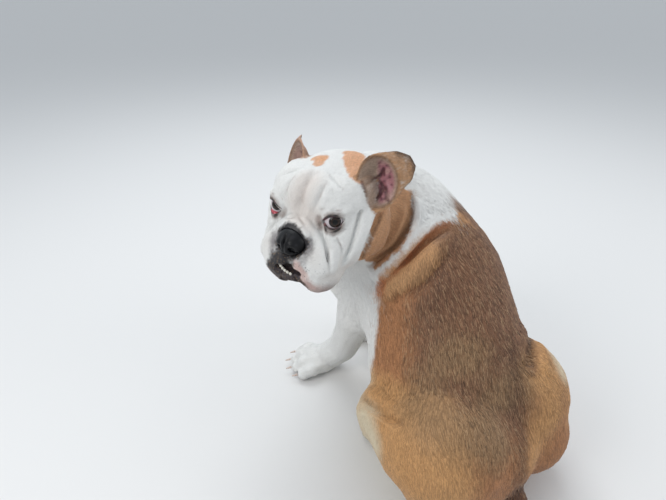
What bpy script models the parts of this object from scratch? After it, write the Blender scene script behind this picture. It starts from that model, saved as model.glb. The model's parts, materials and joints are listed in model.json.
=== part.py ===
"""A young English bulldog, life-size, sitting and looking back over its left shoulder.

Metres, +Z up. The pelvis points along -Y and the dog's left side is +X. The body is modelled
whole, as soft masses fused and smoothed, creased along its folds, and then parted with thin
cuts into the head, neck, trunk, legs and tail. Ears, eyes and claws are pieces of their own.
"""

import math

import bmesh
import bpy
import numpy as np
from mathutils import Matrix, Vector

# Driving sizes
SKULL_WIDTH = 0.156
CHEST_RADIUS = 0.106
RUMP_RADIUS = 0.084
FOREARM_RADIUS = 0.0265
TOE_RADIUS = 0.0118
EYE_RADIUS = 0.0112
EAR_THICKNESS = 0.0034
GAP = 0.0003

# Resolution of the masses, of the finished surface and of the parted solids
MASS_VOXEL = 0.004
SKIN_VOXEL = 0.002
EAR_VOXEL = 0.0011
BODY_TRIANGLES = 5500
EAR_TRIANGLES = 480
DETAIL_FACTOR = 0.0012

# The way the head looks, from the trunk's forward: turned left, nose down, leaning to its left
HEAD_TURN = math.radians(110)
HEAD_NOD = math.radians(3)
HEAD_TILT = math.radians(2)
CHEST_TURN = math.radians(38)
LEFT_PAW_TURN = math.radians(62)
RIGHT_PAW_TURN = math.radians(30)

# Places of the joints
HEAD_CENTRE = Vector((0.082, -0.105, 0.3565))
TAIL_ROOT = Vector((0.0, 0.158, 0.052))
JOINTS = {
    "left": {
        "shoulder": Vector((0.016, -0.095, 0.235)),
        "elbow": Vector((0.026, -0.108, 0.165)),
        "wrist": Vector((0.014, -0.166, 0.048)),
        "hip": Vector((0.050, 0.092, 0.098)),
        "knee": Vector((0.072, 0.014, 0.092)),
        "hock": Vector((0.058, 0.086, 0.028)),
        "toes": Vector((0.046, 0.006, 0.012)),
    },
    "right": {
        "shoulder": Vector((-0.092, -0.160, 0.235)),
        "elbow": Vector((-0.098, -0.165, 0.165)),
        "wrist": Vector((-0.085, -0.186, 0.050)),
        "hip": Vector((-0.068, 0.086, 0.110)),
        "knee": Vector((-0.080, 0.012, 0.089)),
        "hock": Vector((-0.062, 0.086, 0.028)),
        "toes": Vector((-0.050, 0.004, 0.012)),
    },
}

TRUNK = (
    (Vector((0.000, 0.098, 0.080)), 0.90 * RUMP_RADIUS),
    (Vector((-0.002, 0.062, 0.104)), 1.04 * RUMP_RADIUS),
    (Vector((-0.027, 0.009, 0.155)), 0.965 * CHEST_RADIUS),
    (Vector((-0.049, -0.054, 0.212)), 0.98 * CHEST_RADIUS),
    (Vector((-0.039, -0.118, 0.255)), 0.98 * CHEST_RADIUS),
)
NECK = (
    (Vector((-0.032, -0.118, 0.275)), 0.094),
    (Vector((-0.008, -0.128, 0.315)), 0.076),
    (Vector((0.026, -0.122, 0.325)), 0.066),
    (Vector((0.066, -0.108, 0.340)), 0.060),
)

LID_OPENING = (0.0114, 0.0100, 0.0070)

# The ear's bowl in millimetres of the head: its middle, and its side, opening and upward ways
EAR_CENTRE = Vector((67, 5, 32))
EAR_AXES = (Vector((0.86, -0.51, 0.0)), Vector((0.49, 0.82, 0.30)), Vector((-0.15, -0.26, 0.95)))
EAR_TIP_TURN = math.radians(24)
RIGHT_EAR_SHIFT = Vector((-9, -14, -6))

# Folds of the face, in millimetres of the head, for its left side
TEAR_FOLD = ((28, 58, -4), (39, 64, -21), (44, 71, -38), (43, 72, -56))
CHEEK_FOLD = ((55, 20, 17), (59, 28, 3), (60, 40, -15), (56, 53, -35), (51, 61, -52))
CHEEK_EDGE = ((68, -13, 0), (71, 8, -3), (70, 25, -20), (66, 30, -38), (52, 26, -68))
FOREHEAD_FURROW = ((0, 20, 46), (0, 40, 32), (0, 56, 12), (0, 62, 4))

# Folds of the body, in metres
NECK_CREASE = tuple(Vector(p) for p in (
    (-0.004, -0.062, 0.348), (0.003, -0.048, 0.328), (0.026, -0.041, 0.302), (0.046, -0.050, 0.287),
    (0.060, -0.066, 0.268)))
SHOULDER_CREASE = tuple(Vector(p) for p in (
    (0.058, -0.040, 0.250), (0.048, -0.027, 0.270), (0.023, -0.022, 0.293), (-0.008, -0.022, 0.310),
    (-0.040, -0.026, 0.318)))
SHOULDER_ROLL_END = tuple(Vector(p) for p in (
    (0.062, -0.024, 0.240), (0.047, -0.009, 0.260), (0.022, 0.005, 0.275), (-0.020, -0.001, 0.301)))
FLANK_FOLD = tuple(Vector(p) for p in (
    (0.096, -0.020, 0.112), (0.100, -0.004, 0.117), (0.101, 0.020, 0.124), (0.101, 0.046, 0.133),
    (0.104, 0.070, 0.148)))
LOIN_GROOVE = tuple(Vector(p) for p in (
    (-0.084, 0.070, 0.178), (-0.068, 0.094, 0.182), (-0.050, 0.114, 0.176)))

# Colour and roughness of the nodes, by the start of their names
FINISHES = {
    "nose": ((0.030, 0.028, 0.030), 0.35),
    "eye": ((0.040, 0.022, 0.015), 0.10),
    "claw": ((0.620, 0.480, 0.420), 0.45),
    "ear": ((0.480, 0.280, 0.180), 0.80),
    "jaw": ((0.420, 0.380, 0.370), 0.70),
    "head": ((0.780, 0.740, 0.700), 0.85),
    "neck": ((0.740, 0.700, 0.660), 0.85),
    "upper_foreleg": ((0.700, 0.640, 0.580), 0.85),
    "lower_foreleg": ((0.760, 0.720, 0.690), 0.85),
    "forepaw": ((0.760, 0.720, 0.690), 0.85),
    "hindpaw": ((0.680, 0.560, 0.430), 0.85),
    "shank": ((0.560, 0.360, 0.210), 0.85),
    "thigh": ((0.500, 0.290, 0.140), 0.85),
    "tail": ((0.110, 0.070, 0.050), 0.85),
    "rump": ((0.300, 0.160, 0.085), 0.85),
    "chest": ((0.260, 0.130, 0.070), 0.85),
}


def frame_matrix(origin, side, ahead, upward):
    """A placing matrix whose columns are three directions and a place."""
    return Matrix((
        (side[0], ahead[0], upward[0], origin[0]),
        (side[1], ahead[1], upward[1], origin[1]),
        (side[2], ahead[2], upward[2], origin[2]),
        (0, 0, 0, 1),
    ))


def turned(origin, yaw, nod=0.0, tilt=0.0):
    """A frame whose Y is ahead: -Y turned left by yaw, dipped by nod and leaning by tilt."""
    level = math.cos(nod)
    ahead = Vector((math.sin(yaw) * level, -math.cos(yaw) * level, -math.sin(nod)))
    side = Vector((0, 0, 1)).cross(ahead).normalized()
    upward = ahead.cross(side).normalized()
    lean = Matrix.Rotation(tilt, 3, ahead)
    return frame_matrix(origin, lean @ side, ahead, lean @ upward)


HEAD = turned(HEAD_CENTRE, HEAD_TURN, HEAD_NOD, HEAD_TILT)
CHEST = turned(Vector((-0.036, -0.120, 0.255)), CHEST_TURN)
PAWS = {
    "left": turned(Vector((0.024, -0.184, 0.0)), LEFT_PAW_TURN),
    "right": turned(Vector((-0.085, -0.194, 0.0)), RIGHT_PAW_TURN),
}


def on_head(side, ahead, upward):
    """A place on the head, in millimetres of a head 156 mm wide."""
    return HEAD @ (Vector((side, ahead, upward)) * (SKULL_WIDTH / 156))


def eye_centre(sign):
    """The middle of the left (1) or right (-1) eyeball."""
    return on_head(sign * 38.5, 45.5, 1.5)


def head_radii(*radii):
    """Radii on the head, in the same millimetres."""
    return [radius * SKULL_WIDTH / 156 for radius in radii]


def clear_scene():
    """Removes everything that the scene starts with."""
    for item in list(bpy.data.objects):
        bpy.data.objects.remove(item, do_unlink=True)


def new_collection(name):
    """A collection linked to the scene."""
    collection = bpy.data.collections.new(name)
    bpy.context.scene.collection.children.link(collection)
    return collection


def mesh_object(name, mesh, collection):
    """An object for a mesh, in a collection."""
    item = bpy.data.objects.new(name, mesh)
    collection.objects.link(item)
    return item


def evaluated_mesh(item):
    """The item's mesh with its modifiers applied and in world space."""
    bpy.context.view_layer.update()
    graph = bpy.context.evaluated_depsgraph_get()
    mesh = bpy.data.meshes.new_from_object(item.evaluated_get(graph))
    mesh.transform(item.matrix_world)
    return mesh


def ball(bm, centre, radii, frame=None, rings=12):
    """A stretched ball added to a bmesh, with its axes along a frame's."""
    turn = frame.to_3x3().to_4x4() if frame else Matrix.Identity(4)
    matrix = Matrix.Translation(centre) @ turn @ Matrix.Diagonal((*radii, 1))
    piece = bmesh.new()
    bmesh.ops.create_uvsphere(piece, u_segments=2 * rings, v_segments=rings, radius=1, matrix=matrix)
    bmesh.ops.recalc_face_normals(piece, faces=piece.faces)
    mesh = bpy.data.meshes.new("ball")
    piece.to_mesh(mesh)
    piece.free()
    bm.from_mesh(mesh)
    bpy.data.meshes.remove(mesh)


def limb(bm, stations, scratch):
    """A tube of changing radius through (place, radius) stations, with round ends."""
    curve = bpy.data.curves.new("limb", "CURVE")
    curve.dimensions = "3D"
    curve.bevel_depth = 1.0
    curve.bevel_resolution = 6
    curve.resolution_u = 8
    curve.use_fill_caps = True
    spline = curve.splines.new("NURBS")
    spline.order_u = 3
    spline.use_endpoint_u = True
    spline.points.add(len(stations) - 1)
    for point, (place, radius) in zip(spline.points, stations):
        point.co = (*place, 1)
        point.radius = radius
    item = mesh_object("limb", curve, scratch)
    mesh = evaluated_mesh(item)
    bm.from_mesh(mesh)
    bpy.data.objects.remove(item)
    bpy.data.meshes.remove(mesh)
    for place, radius in (stations[0], stations[-1]):
        ball(bm, place, (radius, radius, radius))


def bm_mesh(bm, name):
    """The bmesh as a mesh, with doubles of its pieces merged."""
    bmesh.ops.remove_doubles(bm, verts=bm.verts, dist=1e-5)
    bmesh.ops.recalc_face_normals(bm, faces=bm.faces)
    mesh = bpy.data.meshes.new(name)
    bm.to_mesh(mesh)
    bm.free()
    return mesh


def fused(mesh, voxel, passes, scratch):
    """The mesh's overlapping shells made one surface and smoothed."""
    item = mesh_object("fuse", mesh, scratch)
    remesh = item.modifiers.new("fuse", "REMESH")
    remesh.mode = "VOXEL"
    remesh.voxel_size = voxel
    soften = item.modifiers.new("soften", "SMOOTH")
    soften.factor = 0.5
    soften.iterations = passes
    result = evaluated_mesh(item)
    bpy.data.objects.remove(item)
    return result


def sign_of(side):
    """1 for the left and -1 for the right."""
    return 1 if side == "left" else -1


def trunk_masses(bm, scratch):
    """The trunk and neck as two swelling tubes, with the breast, right buttock and left flank."""
    limb(bm, TRUNK, scratch)
    limb(bm, NECK, scratch)
    ball(bm, CHEST @ Vector((0.0, 0.038, -0.030)), (0.082, 0.068, 0.080), CHEST)
    ball(bm, TAIL_ROOT + Vector((0, -0.012, 0.0)), (0.030, 0.020, 0.024))
    ball(bm, Vector((-0.074, 0.112, 0.066)), (0.062, 0.062, 0.062))
    ball(bm, Vector((0.030, -0.004, 0.135)), (0.047, 0.060, 0.044))


def shoulder_masses(bm, side, scratch):
    """The shoulder blade and upper arm of one side."""
    joints = JOINTS[side]
    out = CHEST.to_3x3() @ Vector((sign_of(side), 0, 0))
    ball(bm, joints["shoulder"] + 0.004 * out, (0.030, 0.050, 0.060), CHEST)
    limb(bm, ((joints["shoulder"], 0.043), (joints["elbow"], 0.034)), scratch)


def haunch_masses(bm, side, scratch):
    """The buttock and thigh of one side."""
    joints = JOINTS[side]
    middle = joints["hip"].lerp(joints["knee"], 0.5) + Vector((0, 0.004, -0.008))
    limb(bm, (
        (joints["hip"], 0.078),
        (middle, 0.066),
        (joints["knee"], 0.044),
    ), scratch)
    ball(bm, joints["hip"] + Vector((0, 0.014, -0.034)), (0.066, 0.064, 0.072))


def head_masses(bm):
    """The skull, brows, cheeks and jaws."""
    ball(bm, on_head(0, -20, 6), head_radii(64, 66, 42), HEAD)
    ball(bm, on_head(0, 10, -58), head_radii(48, 56, 30), HEAD)
    ball(bm, on_head(0, 46, -24), head_radii(36, 30, 28), HEAD)
    ball(bm, on_head(0, 44, -62), head_radii(32, 38, 18), HEAD)
    ball(bm, on_head(0, 16, 12), head_radii(54, 40, 31), HEAD)
    for sign in (1, -1):
        ball(bm, on_head(sign * 36, 4, 15), head_radii(30, 42, 28), HEAD)
        ball(bm, on_head(sign * 25, 27, 11), head_radii(33, 27, 25), HEAD)
        ball(bm, on_head(sign * 44, 2, -24), head_radii(33, 44, 42), HEAD)
        ball(bm, on_head(sign * 32, 36, -32), head_radii(31, 28, 36), HEAD)
        ball(bm, on_head(sign * 25, 61, -47), head_radii(27, 28, 28), HEAD)
        ball(bm, on_head(sign * 27, 56, -65), head_radii(21, 30, 24), HEAD)


def face_masses(bm):
    """The fleshy parts that stay crisp: lids, upper lips, chin and the pad of the nose."""
    for sign in (1, -1):
        ball(bm, eye_centre(sign), [EYE_RADIUS + 0.0030] * 3, rings=10)
        ball(bm, on_head(sign * 36, 40, 12), head_radii(21, 13, 9), HEAD)
        ball(bm, on_head(sign * 16, 70, -44), head_radii(19, 20, 17), HEAD)
        ball(bm, on_head(sign * 25, 67, -57), head_radii(20, 24, 21), HEAD)
        ball(bm, on_head(sign * 24, 62, -68), head_radii(17, 23, 21), HEAD)
    ball(bm, on_head(0, 61, -20), head_radii(28, 20, 22), HEAD)
    ball(bm, on_head(0, 71, -62), head_radii(21, 21, 11), HEAD)


def foreleg_masses(bm, side, scratch):
    """The forearm, wrist and paw of one side."""
    joints = JOINTS[side]
    paw = PAWS[side]
    middle = joints["elbow"].lerp(joints["wrist"], 0.45)
    limb(bm, (
        (joints["elbow"], 0.036),
        (middle, 1.02 * FOREARM_RADIUS),
        (joints["wrist"], 0.94 * FOREARM_RADIUS),
        (paw @ Vector((0, 0.006, 0.022)), 0.92 * FOREARM_RADIUS),
    ), scratch)
    ball(bm, paw @ Vector((0, 0.022, 0.016)), (0.031, 0.032, 0.020), paw)
    toe_masses(bm, paw, 0.0)


def toe_places(paw, start):
    """The root, knuckle and tip of each of the four toes of a paw."""
    spots = []
    for place in (-0.0245, -0.0085, 0.0085, 0.0245):
        outer = abs(place) > 0.02
        reach = start + (0.048 if outer else 0.057)
        fan = place * 1.12
        spots.append((
            paw @ Vector((place * 0.8, start + 0.022, 0.018)),
            paw @ Vector((fan, reach - 0.012, 0.019 if not outer else 0.017)),
            paw @ Vector((fan * 1.04, reach + 0.002, 0.0105)),
        ))
    return spots


def toe_masses(bm, paw, start):
    """The four knuckled toes of a paw."""
    for root, knuckle, tip in toe_places(paw, start):
        ball(bm, knuckle, (TOE_RADIUS, 1.25 * TOE_RADIUS, TOE_RADIUS), paw)
        ball(bm, root, (TOE_RADIUS, 1.3 * TOE_RADIUS, TOE_RADIUS), paw)
        ball(bm, tip, (0.92 * TOE_RADIUS, TOE_RADIUS, 0.86 * TOE_RADIUS), paw)


def hind_paw_frame(side):
    """The frame of a hind foot at its hock, its Y along the foot."""
    joints = JOINTS[side]
    along = joints["toes"] - joints["hock"]
    yaw = math.atan2(along.x, -along.y)
    return turned(Vector((joints["toes"].x, joints["toes"].y, 0)), yaw)


def shank_masses(bm, side, scratch):
    """The shank and hind foot of one side, folded beneath the thigh."""
    joints = JOINTS[side]
    paw = hind_paw_frame(side)
    limb(bm, ((joints["knee"], 0.036), (joints["hock"], 0.025)), scratch)
    limb(bm, ((joints["hock"], 0.024), (joints["toes"], 0.021)), scratch)
    ball(bm, paw @ Vector((0, 0.012, 0.015)), (0.027, 0.030, 0.017), paw)
    toe_masses(bm, paw, -0.010)


def tail_masses(bm, scratch):
    """The short tail, hanging from its root."""
    limb(bm, (
        (TAIL_ROOT + Vector((0, -0.02, 0.0)), 0.018),
        (TAIL_ROOT + Vector((0.0, 0.012, -0.010)), 0.0135),
        (TAIL_ROOT + Vector((0.004, 0.024, -0.034)), 0.009),
    ), scratch)


def soft_body(scratch):
    """The dog's whole body as one soft surface."""
    bm = bmesh.new()
    trunk_masses(bm, scratch)
    for side in ("left", "right"):
        shoulder_masses(bm, side, scratch)
        haunch_masses(bm, side, scratch)
    trunk = fused(bm_mesh(bm, "mass"), MASS_VOXEL, 24, scratch)
    bm = bmesh.new()
    head_masses(bm)
    skull = fused(bm_mesh(bm, "mass"), MASS_VOXEL, 8, scratch)
    bm = bmesh.new()
    bm.from_mesh(trunk)
    bm.from_mesh(skull)
    face_masses(bm)
    for side in ("left", "right"):
        foreleg_masses(bm, side, scratch)
        shank_masses(bm, side, scratch)
    tail_masses(bm, scratch)
    return fused(bm_mesh(bm, "body"), SKIN_VOXEL, 10, scratch)


def array_of(mesh, name, attribute):
    """A vertex attribute of a mesh as an array of places or directions."""
    values = np.empty(3 * len(mesh.vertices))
    getattr(mesh, name).foreach_get(attribute, values)
    return values.reshape(-1, 3)


def smooth_path(points, count=40):
    """A few points joined by a smooth curve and divided evenly."""
    points = np.array([tuple(point) for point in points])
    padded = np.vstack((2 * points[0] - points[1], points, 2 * points[-1] - points[-2]))
    steps = np.linspace(0, len(points) - 1.0001, count)
    whole = steps.astype(int)
    t = (steps - whole)[:, None]
    a, b, c, d = (padded[whole + shift] for shift in range(4))
    return 0.5 * (2 * b + (c - a) * t + (2 * a - 5 * b + 4 * c - d) * t * t
                  + (3 * b - a - 3 * c + d) * t ** 3)


def path_distance(places, path):
    """Each place's distance from a path, and how far along it the nearest point is, 0 to 1."""
    nearest = np.full(len(places), np.inf)
    along = np.zeros(len(places))
    low, high = path.min(0) - 0.03, path.max(0) + 0.03
    inside = np.nonzero(((places > low) & (places < high)).all(1))[0]
    for index in range(len(path) - 1):
        start, leg = path[index], path[index + 1] - path[index]
        offset = places[inside] - start
        t = np.clip(offset @ leg / (leg @ leg), 0, 1)
        reach = np.linalg.norm(offset - t[:, None] * leg, axis=1)
        closer = reach < nearest[inside]
        chosen = inside[closer]
        nearest[chosen] = reach[closer]
        along[chosen] = (index + t[closer]) / (len(path) - 1)
    return nearest, along


def press_fold(mesh, points, width, depth, roll):
    """Presses a crease along a path and swells the skin on both sides of it."""
    places = array_of(mesh, "vertices", "co")
    normals = array_of(mesh, "vertices", "normal")
    distance, along = path_distance(places, smooth_path(points))
    fade = np.clip(6 * np.minimum(along, 1 - along), 0, 1) ** 0.7
    press = depth * np.exp(-(distance / width) ** 2)
    swell = roll * np.exp(-((distance - 2.4 * width) / (1.5 * width)) ** 2)
    places += normals * ((swell - press) * fade)[:, None]
    mesh.vertices.foreach_set("co", places.ravel())
    mesh.update()


def head_path(sign, points):
    """A path on one side of the head."""
    return [on_head(sign * side, ahead, upward) for side, ahead, upward in points]


def press_face(mesh):
    """The folds of the face, the same on both sides."""
    for sign in (1, -1):
        press_fold(mesh, head_path(sign, TEAR_FOLD), 0.0034, 0.0040, 0.0024)
        press_fold(mesh, head_path(sign, CHEEK_FOLD), 0.0036, 0.0030, 0.0018)
        press_fold(mesh, head_path(sign, CHEEK_EDGE), 0.0042, 0.0045, 0.0026)
    press_fold(mesh, head_path(1, FOREHEAD_FURROW), 0.0065, 0.0032, 0.0010)


def press_body(mesh):
    """The rolls of the neck and shoulder, and the folds of the flank and loin."""
    press_fold(mesh, NECK_CREASE, 0.0050, 0.0060, 0.0035)
    press_fold(mesh, SHOULDER_CREASE, 0.0062, 0.0085, 0.0062)
    press_fold(mesh, SHOULDER_ROLL_END, 0.0080, 0.0030, 0.0020)
    press_fold(mesh, FLANK_FOLD, 0.0065, 0.0060, 0.0010)
    press_fold(mesh, LOIN_GROOVE, 0.0080, 0.0060, 0.0030)


def triangle_count(mesh):
    """How many triangles a mesh has."""
    return sum(len(face.vertices) - 2 for face in mesh.polygons)


def lightened(mesh, triangles, scratch):
    """The surface with far fewer triangles, kept finest on the head and paws."""
    item = mesh_object("light", mesh, scratch)
    group = item.vertex_groups.new(name="freely")
    places = array_of(mesh, "vertices", "co")
    head = np.linalg.norm(places - np.array(on_head(0, 20, -15)), axis=1)
    share = np.clip((head - 0.085) / 0.03, 0, 1)
    low = np.clip((places[:, 2] - 0.035) / 0.02, 0, 1)
    fore = places[:, 1] < -0.10
    share = np.where(fore, np.minimum(share, low), share)
    for level in range(6):
        chosen = np.nonzero((share * 5).round() == level)[0]
        group.add(chosen.tolist(), 0.5 + 0.1 * level, "REPLACE")
    lighten = item.modifiers.new("lighten", "DECIMATE")
    lighten.vertex_group = group.name
    lighten.vertex_group_factor = DETAIL_FACTOR
    lighten.ratio = triangles / triangle_count(mesh)
    result = evaluated_mesh(item)
    bpy.data.objects.remove(item)
    return result


def combine(item, cutter, operation):
    """Applies one Boolean of a cutter to an item."""
    cut = item.modifiers.new("cut", "BOOLEAN")
    cut.operation = operation
    cut.solver = "MANIFOLD"
    cut.object = cutter
    mesh = evaluated_mesh(item)
    item.modifiers.clear()
    item.data = mesh
    bpy.data.objects.remove(cutter)


def solid(build, scratch):
    """A cutter object from a function that adds one closed shell to a bmesh."""
    bm = bmesh.new()
    build(bm)
    return mesh_object("cutter", bm_mesh(bm, "cutter"), scratch)


def ball_region(centre, radii, frame=None, rings=8):
    """A region's shape: a stretched ball, with its axes along a frame's."""
    def shape(bm, grow):
        ball(bm, centre, [radius + grow for radius in radii], frame, rings)
    return shape


def capsule_region(start, end, start_radius, end_radius):
    """A region's shape: two half balls and the straight skin between them."""
    axis = (end - start).normalized()
    turn = axis.to_track_quat("Z", "Y").to_matrix()

    def shape(bm, grow):
        made = bmesh.ops.create_uvsphere(bm, u_segments=16, v_segments=8, radius=1)
        for vertex in made["verts"]:
            upper = vertex.co.z > 1e-6
            radius = (end_radius if upper else start_radius) + grow
            vertex.co = (end if upper else start) + turn @ (vertex.co * radius)
    return shape


def box_region(centre, half_sizes, frame=None):
    """A region's shape: a box, with its sides along a frame's."""
    turn = frame.to_3x3().to_4x4() if frame else Matrix.Identity(4)

    def shape(bm, grow):
        sizes = [2 * (half + grow) for half in half_sizes]
        matrix = Matrix.Translation(centre) @ turn @ Matrix.Diagonal((*sizes, 1))
        bmesh.ops.create_cube(bm, size=1, matrix=matrix)
    return shape


def largest_only(mesh):
    """Keeps only the largest closed surface of a mesh."""
    bm = bmesh.new()
    bm.from_mesh(mesh)
    bm.faces.ensure_lookup_table()
    unseen = set(bm.faces)
    islands = []
    while unseen:
        queue = [unseen.pop()]
        island = list(queue)
        while queue:
            face = queue.pop()
            for edge in face.edges:
                for other in edge.link_faces:
                    if other in unseen:
                        unseen.remove(other)
                        queue.append(other)
                        island.append(other)
        islands.append(island)
    islands.sort(key=lambda faces: sum(face.calc_area() for face in faces))
    loose = [face for island in islands[:-1] for face in island]
    bmesh.ops.delete(bm, geom=loose, context="FACES")
    bmesh.ops.delete(bm, geom=[v for v in bm.verts if not v.link_faces], context="VERTS")
    bmesh.ops.dissolve_degenerate(bm, edges=bm.edges, dist=2e-5)
    bm.to_mesh(mesh)
    bm.free()


def part_off(rest, name, region, parts, scratch):
    """Makes a node of what lies in a region, and leaves the rest a thin gap away."""
    piece = mesh_object(name, rest.data.copy(), parts)
    combine(piece, solid(lambda bm: region(bm, 0.0), scratch), "INTERSECT")
    combine(rest, solid(lambda bm: region(bm, GAP), scratch), "DIFFERENCE")
    largest_only(piece.data)
    return piece


def gaze_frame(sign):
    """The frame of an eye opening, its Y outward through the lids."""
    frame = HEAD @ Matrix.Rotation(math.radians(-24 * sign), 4, "Z")
    slit = Matrix.Rotation(math.radians(-12 * sign), 4, "Y")
    frame = frame @ slit
    frame.translation = eye_centre(sign)
    return frame


def eye_shape(bm, frame, grow):
    """An eyeball, or its socket a little larger."""
    bmesh.ops.create_icosphere(bm, subdivisions=3, radius=EYE_RADIUS + grow, matrix=frame)


def open_eyes(rest, parts, scratch):
    """The eyeballs in their sockets, seen between the lids."""
    for sign, side in ((1, "left"), (-1, "right")):
        frame = gaze_frame(sign)
        combine(rest, solid(lambda bm: eye_shape(bm, frame, GAP), scratch), "DIFFERENCE")
        slit = ball_region(frame @ Vector((0, 0.0115, 0)), LID_OPENING, frame, 7)
        combine(rest, solid(lambda bm: slit(bm, 0), scratch), "DIFFERENCE")
        bm = bmesh.new()
        eye_shape(bm, frame, 0)
        mesh_object("eye_" + side, bm_mesh(bm, "eye"), parts)


def nose_shape(bm, grow):
    """The nose leather: a broad rounded wedge."""
    ball(bm, on_head(0, 73, -23), [r + grow for r in head_radii(18.5, 17, 16)], HEAD, rings=9)


def fit_nose(rest, parts, scratch):
    """The nose with its nostrils, in a socket of the face."""
    combine(rest, solid(lambda bm: nose_shape(bm, GAP), scratch), "DIFFERENCE")
    nose = solid(lambda bm: nose_shape(bm, 0), scratch)
    nose.name = "nose"
    scratch.objects.unlink(nose)
    parts.objects.link(nose)
    for sign in (1, -1):
        hollow = ball_region(on_head(sign * 8.8, 89.5, -25), head_radii(4.0, 5.4, 3.8), HEAD, 5)
        combine(nose, solid(lambda bm: hollow(bm, 0), scratch), "DIFFERENCE")
        slit = ball_region(on_head(sign * 14.4, 85.5, -28), head_radii(4.6, 4.6, 1.7), HEAD, 4)
        combine(nose, solid(lambda bm: slit(bm, 0), scratch), "DIFFERENCE")


def open_mouth(rest, parts, scratch):
    """The mouth a little open, and the lower jaw with its front teeth."""
    cavity = ball_region(on_head(0, 87, -54), head_radii(20, 11, 4.2), HEAD)
    combine(rest, solid(lambda bm: cavity(bm, 0), scratch), "DIFFERENCE")
    jaw_region = ball_region(on_head(0, 62, -102), head_radii(30, 58, 47), HEAD)
    jaw = part_off(rest, "jaw", jaw_region, parts, scratch)
    for place in (-12.5, -7.5, -2.5, 2.5, 7.5, 12.5):
        ahead = 88 - 0.05 * place * place
        combine(jaw, solid(lambda bm: tooth(bm, place, ahead), scratch), "UNION")
    largest_only(jaw.data)


def tooth(bm, place, ahead):
    """One small front tooth."""
    ball(bm, on_head(place, ahead, -56), head_radii(2.0, 1.5, 3.2), HEAD, rings=3)


def ear_point(sign, turn, reach):
    """A point of the ear's bowl: turn goes around the rim, reach from its depth out to its edge."""
    lift, back = math.sin(turn), math.cos(turn)
    tip = math.exp(-((turn - EAR_TIP_TURN) / 0.62) ** 2)
    wide = 26 if back > 0 else 21
    tall = 32 if lift > 0 else 29
    inner = min(reach, 1.0)
    bowl = (back * wide * inner, lift * tall * inner, -19 * (1 - inner ** 2.4))
    beyond = max(reach - 1.0, 0.0)
    fold = (1.5 + 26.0 * tip) * beyond
    drop = -(3.0 + 22.0 * tip) * beyond
    side, ahead, upward = EAR_AXES
    place = EAR_CENTRE + side * (bowl[0] + back * fold) + upward * (bowl[1] + lift * fold)
    place += ahead * (bowl[2] + drop)
    if sign < 0:
        place += RIGHT_EAR_SHIFT
    return on_head(sign * place.x, place.y, place.z)


def ear(sign, parts, scratch):
    """A rose ear: a thin bowl with its upper back edge folded over behind."""
    turns, reaches = 20, (0.4, 0.75, 1.0, 1.2, 1.6, 2.0)
    bm = bmesh.new()
    middle = bm.verts.new(ear_point(sign, 0, 0))
    rings = []
    for reach in reaches:
        ring = [bm.verts.new(ear_point(sign, 2 * math.pi * i / turns, reach)) for i in range(turns)]
        rings.append(ring)
    for i in range(turns):
        j = (i + 1) % turns
        bm.faces.new((middle, rings[0][i], rings[0][j]))
        for inner, outer in zip(rings, rings[1:]):
            bm.faces.new((inner[i], outer[i], outer[j], inner[j]))
    bmesh.ops.recalc_face_normals(bm, faces=bm.faces)
    item = mesh_object("ear", bm_mesh(bm, "ear"), scratch)
    soften = item.modifiers.new("soften", "SMOOTH")
    soften.factor = 0.5
    soften.iterations = 2
    thick = item.modifiers.new("thick", "SOLIDIFY")
    thick.thickness = EAR_THICKNESS
    thick.offset = 0
    mesh = fused(evaluated_mesh(item), EAR_VOXEL, 2, scratch)
    bpy.data.objects.remove(item)
    item = mesh_object("ear_left" if sign > 0 else "ear_right", mesh, parts)
    lighten = item.modifiers.new("lighten", "DECIMATE")
    lighten.ratio = EAR_TRIANGLES / triangle_count(mesh)
    item.data = evaluated_mesh(item)
    item.modifiers.clear()
    return item


def grown_copy(mesh, distance, scratch):
    """A copy of a surface moved outward by a small distance."""
    copy = mesh.copy()
    places = array_of(copy, "vertices", "co")
    normals = array_of(copy, "vertices", "normal")
    places += normals * distance
    copy.vertices.foreach_set("co", places.ravel())
    return mesh_object("grown", copy, scratch)


def claw(bm, tip, paw):
    """One curved claw: a short cone bent downward."""
    made = bmesh.ops.create_cone(bm, cap_ends=True, segments=7, radius1=0.0029, radius2=0.0008,
                                 depth=0.016)
    for vertex in made["verts"]:
        along = vertex.co.z + 0.008
        place = Vector((vertex.co.x, along + 0.004, vertex.co.y - 14.0 * along * along))
        vertex.co = tip + paw.to_3x3() @ place


def claws(body, parts, scratch):
    """The four claws of every paw, trimmed to its skin."""
    paws = [("fore_" + side, PAWS[side], 0.0) for side in ("left", "right")]
    paws += [("hind_" + side, hind_paw_frame(side), -0.010) for side in ("left", "right")]
    for name, paw, start in paws:
        for number, (root, knuckle, tip) in enumerate(toe_places(paw, start), 1):
            bm = bmesh.new()
            claw(bm, tip + Vector((0, 0, 0.0022)), paw)
            item = mesh_object(f"claw_{name}_{number}", bm_mesh(bm, "claw"), parts)
            combine(item, grown_copy(body, GAP, scratch), "DIFFERENCE")
            combine(item, ground_cutter(scratch), "DIFFERENCE")
            largest_only(item.data)


def ground_cutter(scratch):
    """A block whose top is the ground."""
    floor = box_region(Vector((0, 0, -0.5)), (1, 1, 0.5))
    return solid(lambda bm: floor(bm, 0), scratch)


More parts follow.
